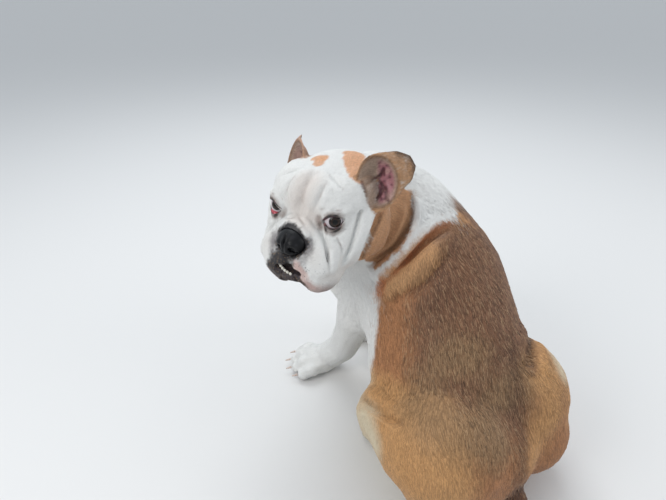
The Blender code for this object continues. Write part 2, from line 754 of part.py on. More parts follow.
def part_body(rest, parts, scratch):
    """Parts the whole body into the head, neck, legs, tail, rump and chest."""
    head = ball_region(on_head(0, 22, -8), head_radii(110, 84, 104), HEAD)
    part_off(rest, "head", head, parts, scratch)
    for side in ("left", "right"):
        joints = JOINTS[side]
        paw = PAWS[side]
        foot = box_region(paw @ Vector((0, 0.020, 0.005)), (0.050, 0.066, 0.036), paw)
        part_off(rest, "forepaw_" + side, foot, parts, scratch)
        hind = hind_paw_frame(side)
        foot = ball_region(hind @ Vector((0, 0.008, 0.008)), (0.040, 0.066, 0.028), hind)
        part_off(rest, "hindpaw_" + side, foot, parts, scratch)
        elbow = joints["elbow"].lerp(joints["wrist"], 0.36)
        lower = capsule_region(elbow, joints["wrist"], 0.042, 0.038)
        part_off(rest, "lower_foreleg_" + side, lower, parts, scratch)
        upper = capsule_region(joints["shoulder"], joints["elbow"], 0.040, 0.048)
        part_off(rest, "upper_foreleg_" + side, upper, parts, scratch)
        shank = capsule_region(joints["knee"].lerp(joints["hock"], 0.4), joints["hock"], 0.032, 0.034)
        part_off(rest, "shank_" + side, shank, parts, scratch)
        hip = joints["hip"] + Vector((sign_of(side) * 0.034, -0.012, 0.0))
        thigh = capsule_region(hip, joints["knee"], 0.072, 0.056)
        part_off(rest, "thigh_" + side, thigh, parts, scratch)
    tail = ball_region(TAIL_ROOT + Vector((0, 0.022, -0.018)), (0.030, 0.024, 0.040))
    part_off(rest, "tail", tail, parts, scratch)
    neck = ball_region(Vector((0.010, -0.118, 0.352)), (0.098, 0.098, 0.090))
    part_off(rest, "neck", neck, parts, scratch)
    slope = Matrix.Rotation(math.radians(-51), 4, "X")
    rump = box_region(Vector((0, 0.150, 0.042)), (0.3, 0.15, 0.4), slope)
    part_off(rest, "rump", rump, parts, scratch)
    rest.name = "chest"
    scratch.objects.unlink(rest)
    parts.objects.link(rest)
    largest_only(rest.data)


def settle(parts):
    """Moves every node so that the model stands centred on the origin."""
    places = [vertex.co for item in parts.objects for vertex in item.data.vertices]
    low = [min(place[axis] for place in places) for axis in range(3)]
    high = [max(place[axis] for place in places) for axis in range(3)]
    shift = Vector((-(low[0] + high[0]) / 2, -(low[1] + high[1]) / 2, -low[2]))
    for item in parts.objects:
        item.data.transform(Matrix.Translation(shift))


def material(name, colour, roughness):
    """A plain finish."""
    finish = bpy.data.materials.new(name)
    finish.use_nodes = True
    shader = finish.node_tree.nodes["Principled BSDF"]
    shader.inputs["Base Color"].default_value = (*colour, 1)
    shader.inputs["Roughness"].default_value = roughness
    shader.inputs["Metallic"].default_value = 0.0
    finish.diffuse_color = (*colour, 1)
    return finish


def paint(parts):
    """Gives each node its own finish in the photograph's colour."""
    for item in parts.objects:
        finish = next(values for start, values in FINISHES.items() if item.name.startswith(start))
        item.data.materials.clear()
        item.data.materials.append(material(item.name, *finish))
        item.data.shade_flat()


def build():
    """Builds the dog and parts it into its nodes."""
    clear_scene()
    parts = new_collection("bulldog")
    scratch = new_collection("cutters")
    mesh = soft_body(scratch)
    press_face(mesh)
    press_body(mesh)
    body = mesh_object("body", lightened(mesh, BODY_TRIANGLES, scratch), scratch)
    combine(body, ground_cutter(scratch), "DIFFERENCE")
    fit_nose(body, parts, scratch)
    ears = [ear(sign, parts, scratch) for sign in (1, -1)]
    for item in ears:
        combine(item, grown_copy(body.data, GAP, scratch), "DIFFERENCE")
        largest_only(item.data)
    claws(body.data, parts, scratch)
    open_eyes(body, parts, scratch)
    open_mouth(body, parts, scratch)
    part_body(body, parts, scratch)
    settle(parts)
    paint(parts)


if __name__ == "__main__":
    build()
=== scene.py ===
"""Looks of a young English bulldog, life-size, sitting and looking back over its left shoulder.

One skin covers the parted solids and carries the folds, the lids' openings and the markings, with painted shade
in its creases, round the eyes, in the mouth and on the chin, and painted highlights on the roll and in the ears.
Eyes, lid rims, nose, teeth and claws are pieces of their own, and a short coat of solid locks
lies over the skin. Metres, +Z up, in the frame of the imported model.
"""

import json
import logging
import math
from dataclasses import dataclass, field
from enum import Enum

import bmesh
import bpy
import numpy as np
from mathutils import Matrix, Vector
from mathutils.bvhtree import BVHTree

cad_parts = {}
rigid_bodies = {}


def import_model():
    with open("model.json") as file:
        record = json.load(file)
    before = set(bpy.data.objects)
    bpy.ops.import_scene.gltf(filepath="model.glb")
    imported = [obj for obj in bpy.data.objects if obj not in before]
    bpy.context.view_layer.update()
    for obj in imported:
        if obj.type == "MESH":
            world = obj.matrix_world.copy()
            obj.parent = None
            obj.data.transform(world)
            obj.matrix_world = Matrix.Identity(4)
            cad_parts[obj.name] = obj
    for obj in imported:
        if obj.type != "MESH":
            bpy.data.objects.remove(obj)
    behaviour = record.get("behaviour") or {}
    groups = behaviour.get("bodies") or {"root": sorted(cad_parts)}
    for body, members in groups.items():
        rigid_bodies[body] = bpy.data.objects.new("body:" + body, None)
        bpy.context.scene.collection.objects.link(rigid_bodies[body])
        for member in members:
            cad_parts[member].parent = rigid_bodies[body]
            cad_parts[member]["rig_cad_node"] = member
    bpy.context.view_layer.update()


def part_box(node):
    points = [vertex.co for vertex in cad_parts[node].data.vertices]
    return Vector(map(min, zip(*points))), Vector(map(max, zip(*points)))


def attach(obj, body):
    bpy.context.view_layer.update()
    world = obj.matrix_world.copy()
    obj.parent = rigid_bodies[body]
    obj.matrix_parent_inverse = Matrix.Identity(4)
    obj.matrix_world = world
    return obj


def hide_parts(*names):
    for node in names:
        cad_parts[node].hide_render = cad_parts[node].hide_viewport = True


LOG = logging.getLogger("bulldog")
SEED = 11
MM = 0.001
Path = tuple[tuple[float, float, float], ...]
Colour = tuple[float, float, float]


class Side(Enum):
    """The dog's own left and right, as the sign of the head's sideways axis."""

    LEFT = 1
    RIGHT = -1


class Tone(Enum):
    """Colours of the coat and of bare skin as they are seen, in parts of 255, and of the painted shade and
    highlights laid over them.
    """

    WHITE = (229, 228, 225)
    SHADED_WHITE = (203, 198, 194)
    BLUSH = (220, 202, 190)
    CREAM = (216, 203, 176)
    GOLD = (196, 148, 98)
    RUST = (168, 117, 78)
    SADDLE = (121, 85, 62)
    OLIVE = (146, 115, 82)
    # Dark brown coat, also used as painted shade in the body's creases, the neck hollow and where the cheek
    # meets the neck.
    UMBER = (92, 62, 46)
    # Painted shade in the crease above the roll.
    CREASE = (180, 114, 72)
    # The roll's tan coat, laid lighter than the rust as a painted highlight.
    ROLL = (194, 148, 104)
    STRIP = (190, 143, 105)
    PATCH = (214, 158, 116)
    EAR_BACK = (182, 140, 104)
    # Brown of the ear's back and edge, also painted shade where the left ear's front rim meets the head.
    EAR_EDGE = (104, 74, 54)
    EAR_HAIR = (172, 148, 130)
    STRAW = (196, 162, 124)
    MAUVE = (160, 106, 112)
    # Dark lines of the ear's cup and of the lids' rims, also painted shade in the cup's folds and along the left
    # ear's front rim.
    EAR_DEEP = (84, 46, 52)
    # Pale pink of the ear's lobe, also a painted highlight on the upper cup.
    LOBE = (186, 152, 142)
    FLEW = (206, 178, 170)
    SMOKE = (118, 112, 114)
    PIGMENT = (40, 36, 38)
    # Black lip pigment, also painted shade on the chin and inside the mouth's gap.
    LIP = (50, 40, 42)
    # Painted shade along the head's folds and the brow furrow.
    FOLD = (166, 146, 138)
    # Painted shade in the deepest head folds, round the eyes and at their inner corners.
    TEAR = (136, 116, 108)
    PAD = (120, 92, 88)

    @property
    def linear(self) -> np.ndarray:
        """The colour as a shader reads it."""
        seen = np.array(self.value) / 255
        return ((seen + 0.055) / 1.055) ** 2.4


class Wet(Enum):
    """How a finish shines: its roughness and its clear coat."""

    DRY = (0.80, 0.0)
    MOIST = (0.42, 0.25)
    GLASSY = (0.06, 1.0)


# Shader helper


class Socket:
    """One output socket of a node tree, with arithmetic that adds Math nodes."""

    def __init__(self, tree: "ShaderTree", socket: bpy.types.NodeSocket) -> None:
        """Wraps a socket of a tree."""
        self.tree = tree
        self.socket = socket

    def _math(self, operation: str, *values: "Socket | float") -> "Socket":
        """Adds a Math node for an operation on values."""
        return self.tree.add("ShaderNodeMath", {"operation": operation}, dict(enumerate(values)))

    def __add__(self, other: "Socket | float") -> "Socket":
        """Sum of two values."""
        return self._math("ADD", self, other)

    def __radd__(self, other: float) -> "Socket":
        """Sum with a number on the left."""
        return self._math("ADD", other, self)

    def __sub__(self, other: "Socket | float") -> "Socket":
        """Difference of two values."""
        return self._math("SUBTRACT", self, other)

    def __rsub__(self, other: float) -> "Socket":
        """Difference from a number on the left."""
        return self._math("SUBTRACT", other, self)

    def __mul__(self, other: "Socket | float") -> "Socket":
        """Product of two values."""
        return self._math("MULTIPLY", self, other)

    def __rmul__(self, other: float) -> "Socket":
        """Product with a number on the left."""
        return self._math("MULTIPLY", other, self)

    def __truediv__(self, other: "Socket | float") -> "Socket":
        """Quotient of two values."""
        return self._math("DIVIDE", self, other)

    def step(self, low: float, high: float) -> "Socket":
        """A smooth step from 0 at low to 1 at high."""
        return self.tree.add("ShaderNodeMapRange", {"interpolation_type": "SMOOTHSTEP"},
                             {"Value": self, "From Min": low, "From Max": high})


class ShaderTree:
    """A material's node tree with one Principled shader."""

    def __init__(self, name: str) -> None:
        """Starts a material with only its shader and output."""
        self.material = bpy.data.materials.new(name)
        self.material.use_nodes = True
        self.tree = self.material.node_tree
        self.shader = self.tree.nodes["Principled BSDF"]

    def add(self, kind: str, settings: dict, inputs: dict, output: int | str = 0) -> Socket:
        """Adds any node.

        Args:
            kind: The node's type name.
            settings: Properties set before the sockets are used.
            inputs: Values or sockets for its inputs, by name or number.
            output: Which output to hand on.

        Returns:
            The wrapped output socket.
        """
        node = self.tree.nodes.new(kind)
        for key, value in settings.items():
            setattr(node, key, value)
        for key, value in inputs.items():
            self.feed(node.inputs[key], value)
        return Socket(self, node.outputs[output])

    def feed(self, target: bpy.types.NodeSocket, value: "Socket | float | tuple") -> None:
        """Links a socket to an input, or sets the input's value."""
        if isinstance(value, Socket):
            self.tree.links.new(value.socket, target)
        elif isinstance(value, tuple) and len(value) == 3 and target.type == "RGBA":
            target.default_value = (*value, 1.0)
        else:
            target.default_value = value

    def set(self, **inputs: "Socket | float | tuple") -> None:
        """Feeds the shader's own sockets, whose spaces are written as underscores."""
        for key, value in inputs.items():
            self.feed(self.shader.inputs[key.replace("_", " ")], value)

    def place(self) -> Socket:
        """The surface point in the object's own coordinates."""
        return self.add("ShaderNodeTexCoord", {}, {}, "Object")

    def attribute(self, name: str, output: str = "Color") -> Socket:
        """A colour or value stored on the mesh."""
        return self.add("ShaderNodeAttribute", {"attribute_name": name}, {}, output)

    def noise(self, scale: float, detail: float = 2.0) -> Socket:
        """A noise value over the object's own coordinates."""
        return self.add("ShaderNodeTexNoise", {},
                        {"Vector": self.place(), "Scale": scale, "Detail": detail})

    def cells(self, scale: float, feature: str = "F1") -> Socket:
        """The distance of a cell pattern over the object's own coordinates."""
        return self.add("ShaderNodeTexVoronoi", {"feature": feature},
                        {"Vector": self.place(), "Scale": scale}, "Distance")

    def blend(self, amount: "Socket | float", first: "Socket | Colour", second: "Socket | Colour",
              mode: str = "MIX") -> Socket:
        """Mixes two colours."""
        settings = {"data_type": "RGBA", "blend_type": mode, "clamp_factor": True}
        return self.add("ShaderNodeMix", settings, {0: amount, 6: first, 7: second}, 2)

    def bump(self, height: "Socket", strength: float, distance: float) -> Socket:
        """A bumped normal."""
        return self.add("ShaderNodeBump", {}, {"Height": height, "Strength": strength,
                                               "Distance": distance})


# Finishes


@dataclass(frozen=True)
class CoatFinish:
    """The skin or its locks, coloured by what is stored on the mesh.

    Attributes:
        name: Name of the material.
        roughness: Roughness of the hair.
        sheen: Soft light along the edges.
        grain: Height of the fine bump in metres.
        specks: How dark the specks of pigment are where the mesh stores them.
    """

    name: str
    roughness: float
    sheen: float
    grain: float
    specks: float

    def material(self) -> bpy.types.Material:
        """Builds the material.

        Returns:
            A material whose colour is the stored one, mottled finely.
        """
        tree = ShaderTree(self.name)
        stored = tree.attribute("coat")
        bare = tree.attribute("bare", "Fac")
        mottle = tree.noise(420.0, 3.0)
        shade = tree.blend(0.22, stored, tree.add("ShaderNodeCombineColor", {}, {
            0: mottle, 1: mottle, 2: mottle}), "SOFT_LIGHT")
        if self.specks:
            dots = 1.0 - tree.cells(330.0).step(0.22, 0.42)
            clumps = tree.noise(110.0).step(0.44, 0.62)
            mask = tree.attribute("speck", "Fac") * dots * clumps * self.specks
            shade = tree.blend(mask, shade, tuple(Tone.SMOKE.linear * 0.55))
        tree.set(Base_Color=shade, Roughness=self.roughness - bare * (self.roughness - 0.36),
                 Sheen_Weight=self.sheen, Sheen_Roughness=0.5, IOR=1.42)
        if self.grain:
            hairs = tree.noise(900.0, 4.0)
            pores = tree.cells(700.0)
            height = hairs * (1.0 - bare * 0.6) + pores * bare * 0.8
            tree.set(Normal=tree.bump(height, 0.6, self.grain))
        return tree.material


@dataclass(frozen=True)
class LeatherFinish:
    """The nose leather: black, pebbled and moist."""

    name: str = "nose_leather"
    colour: Colour = (0.0055, 0.0055, 0.0065)
    worn: Colour = (0.016, 0.015, 0.018)

    def material(self) -> bpy.types.Material:
        """Builds the pebbled black leather."""
        tree = ShaderTree(self.name)
        pebbles = tree.cells(900.0, "SMOOTH_F1")
        broad = tree.noise(120.0)
        tree.set(Base_Color=tree.blend(broad.step(0.55, 0.75), self.colour, self.worn),
                 Roughness=0.34 + broad * 0.22, Coat_Weight=0.3, Coat_Roughness=0.25, Coat_IOR=1.3,
                 IOR=1.28, Normal=tree.bump(pebbles, 0.5, 0.0005))
        return tree.material


@dataclass(frozen=True)
class EyeFinish:
    """An eyeball, painted by the stored angle from the way it looks."""

    name: str = "eye"
    pupil: Colour = (0.002, 0.002, 0.002)
    iris_in: Colour = (0.026, 0.012, 0.007)
    iris_out: Colour = (0.006, 0.0035, 0.003)
    white: Colour = (0.56, 0.50, 0.52)
    vein: Colour = (0.40, 0.16, 0.16)

    def material(self) -> bpy.types.Material:
        """Builds the eye's paint under a glassy coat."""
        tree = ShaderTree(self.name)
        polar = tree.attribute("polar", "Fac")
        fibres = tree.noise(1400.0, 4.0)
        iris = tree.blend(polar.step(0.24, 0.58) + (fibres - 0.5) * 0.5, self.iris_in, self.iris_out)
        inner = tree.blend(polar.step(0.24, 0.29), self.pupil, iris)
        veins = tree.noise(260.0, 6.0).step(0.56, 0.70) * polar.step(0.55, 1.15)
        ball = tree.blend(veins * 0.8, self.white, self.vein)
        edge = tree.blend(polar.step(0.60, 0.67), inner, ball)
        tree.set(Base_Color=edge, Roughness=0.16, Coat_Weight=1.0, Coat_Roughness=0.02, Coat_IOR=1.34,
                 IOR=1.15)
        return tree.material


@dataclass(frozen=True)
class FleshFinish:
    """Bare moist flesh, such as a lid's rim, the haw or the inner lip."""

    name: str
    colour: Colour
    dark: Colour
    wet: Wet = Wet.MOIST

    def material(self) -> bpy.types.Material:
        """Builds the mottled flesh."""
        tree = ShaderTree(self.name)
        roughness, coat = self.wet.value
        patches = tree.noise(350.0, 3.0)
        tree.set(Base_Color=tree.blend(patches.step(0.35, 0.65), self.colour, self.dark),
                 Roughness=roughness + (patches - 0.5) * 0.1, Coat_Weight=coat, Coat_Roughness=0.15,
                 Normal=tree.bump(tree.noise(1500.0), 0.3, 0.0002))
        return tree.material


@dataclass(frozen=True)
class HornFinish:
    """Claw horn or tooth enamel, streaked along."""

    name: str
    root: Colour
    tip: Colour
    roughness: float = 0.36

    def material(self) -> bpy.types.Material:
        """Builds the horn."""
        tree = ShaderTree(self.name)
        streaks = tree.noise(600.0, 3.0)
        tree.set(Base_Color=tree.blend(streaks.step(0.3, 0.7), self.root, self.tip),
                 Roughness=self.roughness + (streaks - 0.5) * 0.15, Coat_Weight=0.2,
                 Normal=tree.bump(streaks, 0.25, 0.0003))
        return tree.material


# Anatomy: where things are, from the frame


def turning(yaw: float, nod: float, tilt: float) -> np.ndarray:
    """The directions of a turned head.

    Args:
        yaw: Turn to the left of -Y.
        nod: Dip of the nose.
        tilt: Lean towards the left.

    Returns:
        A 3 by 3 array whose columns are its left, its front and its top.
    """
    level = math.cos(nod)
    ahead = Vector((math.sin(yaw) * level, -math.cos(yaw) * level, -math.sin(nod)))
    side = Vector((0, 0, 1)).cross(ahead).normalized()
    upward = ahead.cross(side).normalized()
    lean = Matrix.Rotation(tilt, 3, ahead)
    return np.array((lean @ side, ahead, lean @ upward)).T


@dataclass
class Anatomy:
    """Places on the dog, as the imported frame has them.

    Attributes:
        head_turn: The head's yaw, nod and tilt in degrees.
        ear_centre: The left ear's middle in millimetres of the head.
        ear_axes: The left ear's ways back, up and out of its cup, in the head.
        right_ear_shift: How the right ear's place differs from a mirrored one.
        trunk_rear: The rear end of the trunk's axis, in the modelling frame.
        trunk_front: Its front end.
        spine_side: Roughly the way from the axis to the spine.
        eye_place: The left eye in millimetres of the head.
        head_design: The head's middle in the modelling frame, before the model was centred.
    """

    head_turn: tuple[float, float, float] = (110.0, 3.0, 2.0)
    eye_place: tuple[float, float, float] = (38.5, 45.5, 1.5)
    head_design: tuple[float, float, float] = (0.082, -0.105, 0.3565)
    ear_centre: tuple[float, float, float] = (67, 5, 32)
    ear_axes: Path = ((0.86, -0.51, 0.0), (-0.15, -0.26, 0.95), (0.49, 0.82, 0.30))
    right_ear_shift: tuple[float, float, float] = (-9, -14, -6)
    trunk_rear: tuple[float, float, float] = (0.000, 0.098, 0.080)
    trunk_front: tuple[float, float, float] = (-0.039, -0.118, 0.255)
    spine_side: tuple[float, float, float] = (-0.25, 0.55, 0.80)
    axes: np.ndarray = field(init=False)
    shift: np.ndarray = field(init=False)

    def __post_init__(self) -> None:
        """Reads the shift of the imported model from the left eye."""
        self.axes = turning(*(math.radians(angle) for angle in self.head_turn))
        low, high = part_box("eye_left")
        eye = np.array(self.head_design) + self.axes @ (np.array(self.eye_place) * MM)
        self.shift = (np.array(low) + np.array(high)) / 2 - eye

    def body(self, points: Path | np.ndarray) -> np.ndarray:
        """Points of the modelling frame, in metres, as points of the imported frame."""
        return np.atleast_2d(np.array(points, float)) + self.shift

    def head(self, points: Path | np.ndarray, side: Side = Side.LEFT) -> np.ndarray:
        """Points of the head, in millimetres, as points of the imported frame."""
        local = np.atleast_2d(np.array(points, float)) * MM
        local = local * np.array((side.value, 1, 1))
        return np.array(self.head_design) + local @ self.axes.T + self.shift

    def to_head(self, places: np.ndarray) -> np.ndarray:
        """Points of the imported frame, in millimetres of the head."""
        return (places - self.shift - np.array(self.head_design)) @ self.axes / MM

    def to_body(self, places: np.ndarray) -> np.ndarray:
        """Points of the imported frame, in metres of the modelling frame."""
        return places - self.shift

    def to_ear(self, places: np.ndarray, side: Side) -> np.ndarray:
        """Places in millimetres of an ear: back, up and out of its cup."""
        centre = np.array(self.ear_centre, float)
        if side is Side.RIGHT:
            centre += self.right_ear_shift
        return (self.to_head(places) * (side.value, 1, 1) - centre) @ np.array(self.ear_axes).T

    def to_ear_way(self, normals: np.ndarray, side: Side) -> np.ndarray:
        """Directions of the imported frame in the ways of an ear."""
        return (normals @ self.axes * (side.value, 1, 1)) @ np.array(self.ear_axes).T

    def ear_place(self, points: Path, side: Side) -> np.ndarray:
        """Points of an ear, in millimetres back, up and out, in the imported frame."""
        centre = np.array(self.ear_centre, float)
        if side is Side.RIGHT:
            centre += self.right_ear_shift
        return self.head(centre + np.array(points, float) @ np.array(self.ear_axes), side)

    def unroll(self, body_places: np.ndarray) -> tuple[np.ndarray, np.ndarray]:
        """Coordinates round the trunk.

        Args:
            body_places: Places in the modelling frame.

        Returns:
            How far each lies towards the head, and its turn from the spine towards the left.
        """
        rear, front = np.array(self.trunk_rear), np.array(self.trunk_front)
        axis = (front - rear) / np.linalg.norm(front - rear)
        spine = np.array(self.spine_side) - axis * (axis @ self.spine_side)
        offset = body_places - (rear + front) / 2
        left = np.cross(spine, axis)
        return offset @ axis, np.arctan2(offset @ left, offset @ spine)

    def gaze(self, side: Side) -> Matrix:
        """The frame of an eye's opening: its Y points out between the lids."""
        head = Matrix(self.axes.tolist()).to_4x4()
        turn = Matrix.Rotation(math.radians(-24 * side.value), 4, "Z")
        slit = Matrix.Rotation(math.radians(-12 * side.value), 4, "Y")
        frame = head @ turn @ slit
        frame.translation = Vector(self.head([self.eye_place], side)[0])
        return frame


# Mesh helpers


def array_of(mesh: bpy.types.Mesh, attribute: str) -> np.ndarray:
    """The places or normals of a mesh's vertices, as a table of three columns."""
    values = np.empty(3 * len(mesh.vertices), np.float32)
    mesh.vertices.foreach_get(attribute, values)
    return values.reshape(-1, 3).astype(float)


def put_places(mesh: bpy.types.Mesh, places: np.ndarray) -> None:
    """Moves a mesh's vertices to new places."""
    mesh.vertices.foreach_set("co", places.astype(np.float32).ravel())
    mesh.update()


def linked(name: str, mesh: bpy.types.Mesh) -> bpy.types.Object:
    """An object for a mesh, in the scene."""
    item = bpy.data.objects.new(name, mesh)
    bpy.context.scene.collection.objects.link(item)
    return item


def from_bmesh(bm: bmesh.types.BMesh, name: str) -> bpy.types.Object:
    """A finished bmesh as an object with outward faces."""
    bm.normal_update()
    bmesh.ops.recalc_face_normals(bm, faces=bm.faces)
    closed = all(edge.is_manifold for edge in bm.edges)
    if closed and bm.calc_volume(signed=True) < 0:
        bmesh.ops.reverse_faces(bm, faces=bm.faces)
    mesh = bpy.data.meshes.new(name)
    bm.to_mesh(mesh)
    bm.free()
    return linked(name, mesh)


def applied(item: bpy.types.Object) -> bpy.types.Object:
    """Applies the modifiers of an object."""
    bpy.context.view_layer.update()
    graph = bpy.context.evaluated_depsgraph_get()
    mesh = bpy.data.meshes.new_from_object(item.evaluated_get(graph))
    mesh.materials.clear()
    item.modifiers.clear()
    item.data = mesh
    return item


def cut(item: bpy.types.Object, cutter: bpy.types.Object) -> None:
    """Takes one closed shape out of another and removes the cutter."""
    change = item.modifiers.new("cut", "BOOLEAN")
    change.operation = "DIFFERENCE"
    change.solver = "MANIFOLD"
    change.object = cutter
    applied(item)
    bpy.data.objects.remove(cutter)


def smooth_path(points: np.ndarray, count: int = 60) -> np.ndarray:
    """A few points joined by a smooth curve.

    Args:
        points: The points in order.
        count: How many points come back.

    Returns:
        Evenly stepped points of the curve.
    """
    padded = np.vstack((2 * points[0] - points[1], points, 2 * points[-1] - points[-2]))
    steps = np.linspace(0, len(points) - 1.0001, count)
    whole = steps.astype(int)
    t = (steps - whole)[:, None]
    a, b, c, d = (padded[whole + shift] for shift in range(4))
    return 0.5 * (2 * b + (c - a) * t + (2 * a - 5 * b + 4 * c - d) * t * t
                  + (3 * b - a - 3 * c + d) * t ** 3)


def path_distance(places: np.ndarray, path: np.ndarray, reach: float = 0.04
                  ) -> tuple[np.ndarray, np.ndarray]:
    """How far places are from a path.

    Args:
        places: The places.
        path: Points of the path.
        reach: Places farther than this from the path's box count as infinitely far.

    Returns:
        The distance of each place, and how far along the path its nearest point is, 0 to 1.
    """
    nearest = np.full(len(places), 9.0)
    along = np.zeros(len(places))
    near = ((places > path.min(0) - reach) & (places < path.max(0) + reach)).all(1)
    chosen = np.nonzero(near)[0]
    local, least, where = places[chosen], nearest[chosen], along[chosen]
    for index in range(len(path) - 1):
        start, leg = path[index], path[index + 1] - path[index]
        offset = local - start
        t = np.clip(offset @ leg / (leg @ leg), 0, 1)
        gap = np.linalg.norm(offset - t[:, None] * leg, axis=1)
        closer = gap < least
        least[closer] = gap[closer]
        where[closer] = (index + t[closer]) / (len(path) - 1)
    nearest[chosen] = least
    along[chosen] = where
    return nearest, along


def ramp(values: np.ndarray, low: float, high: float) -> np.ndarray:
    """A smooth step of values from 0 at low to 1 at high."""
    t = np.clip((values - low) / (high - low), 0, 1)
    return t * t * (3 - 2 * t)


def waves(places: np.ndarray, scale: float, seed: int) -> np.ndarray:
    """A soft random value of about -1 to 1 at each place.

    Args:
        places: The places in metres.
        scale: Rough size of a patch in metres.
        seed: Which pattern.

    Returns:
        One value for each place.
    """
    draw = np.random.default_rng(seed)
    total = np.zeros(len(places))
    for _ in range(9):
        way = draw.normal(size=3)
        way *= 2 * math.pi / (scale * np.linalg.norm(way)) * draw.uniform(0.6, 1.5)
        total += np.sin(places @ way + draw.uniform(0, 6.28))
    return total / 4.2


# Markings


WHITE_BORDER = (
    (-0.135, -0.030, 0.140), (-0.150, -0.050, 0.220), (-0.125, -0.055, 0.290), (-0.078, -0.049, 0.325),
    (-0.062, -0.028, 0.315), (-0.031, -0.029, 0.318), (0.001, -0.029, 0.307), (0.029, -0.032, 0.283),
    (0.045, -0.043, 0.261), (0.053, -0.041, 0.232), (0.063, -0.030, 0.196), (0.069, -0.028, 0.150),
    (0.050, -0.020, 0.090))
ROLL_END = (
    (-0.150, -0.020, 0.200), (-0.080, -0.020, 0.318), (-0.045, -0.016, 0.310), (-0.006, 0.000, 0.288),
    (0.017, 0.000, 0.270), (0.040, -0.017, 0.252), (0.052, -0.030, 0.236), (0.060, -0.032, 0.200))
SADDLE_LEFT = (
    (0.030, 0.000, 0.255), (0.051, 0.016, 0.221), (0.066, 0.035, 0.180), (0.086, 0.078, 0.164),
    (0.090, 0.120, 0.150), (0.060, 0.165, 0.110))
SADDLE_RIGHT = (
    (-0.150, -0.030, 0.215), (-0.140, 0.030, 0.190), (-0.115, 0.090, 0.175), (-0.060, 0.150, 0.120),
    (-0.030, 0.170, 0.090))
SPINE = (
    (-0.080, -0.008, 0.298), (-0.068, 0.030, 0.269), (-0.053, 0.066, 0.236), (-0.041, 0.096, 0.201),
    (-0.028, 0.122, 0.166), (-0.009, 0.148, 0.135), (0.007, 0.169, 0.100), (0.004, 0.172, 0.070))

NECK_HOLLOW = (
    (-0.016, -0.066, 0.354), (-0.003, -0.050, 0.328), (0.007, -0.047, 0.316), (0.024, -0.042, 0.301),
    (0.034, -0.046, 0.293))


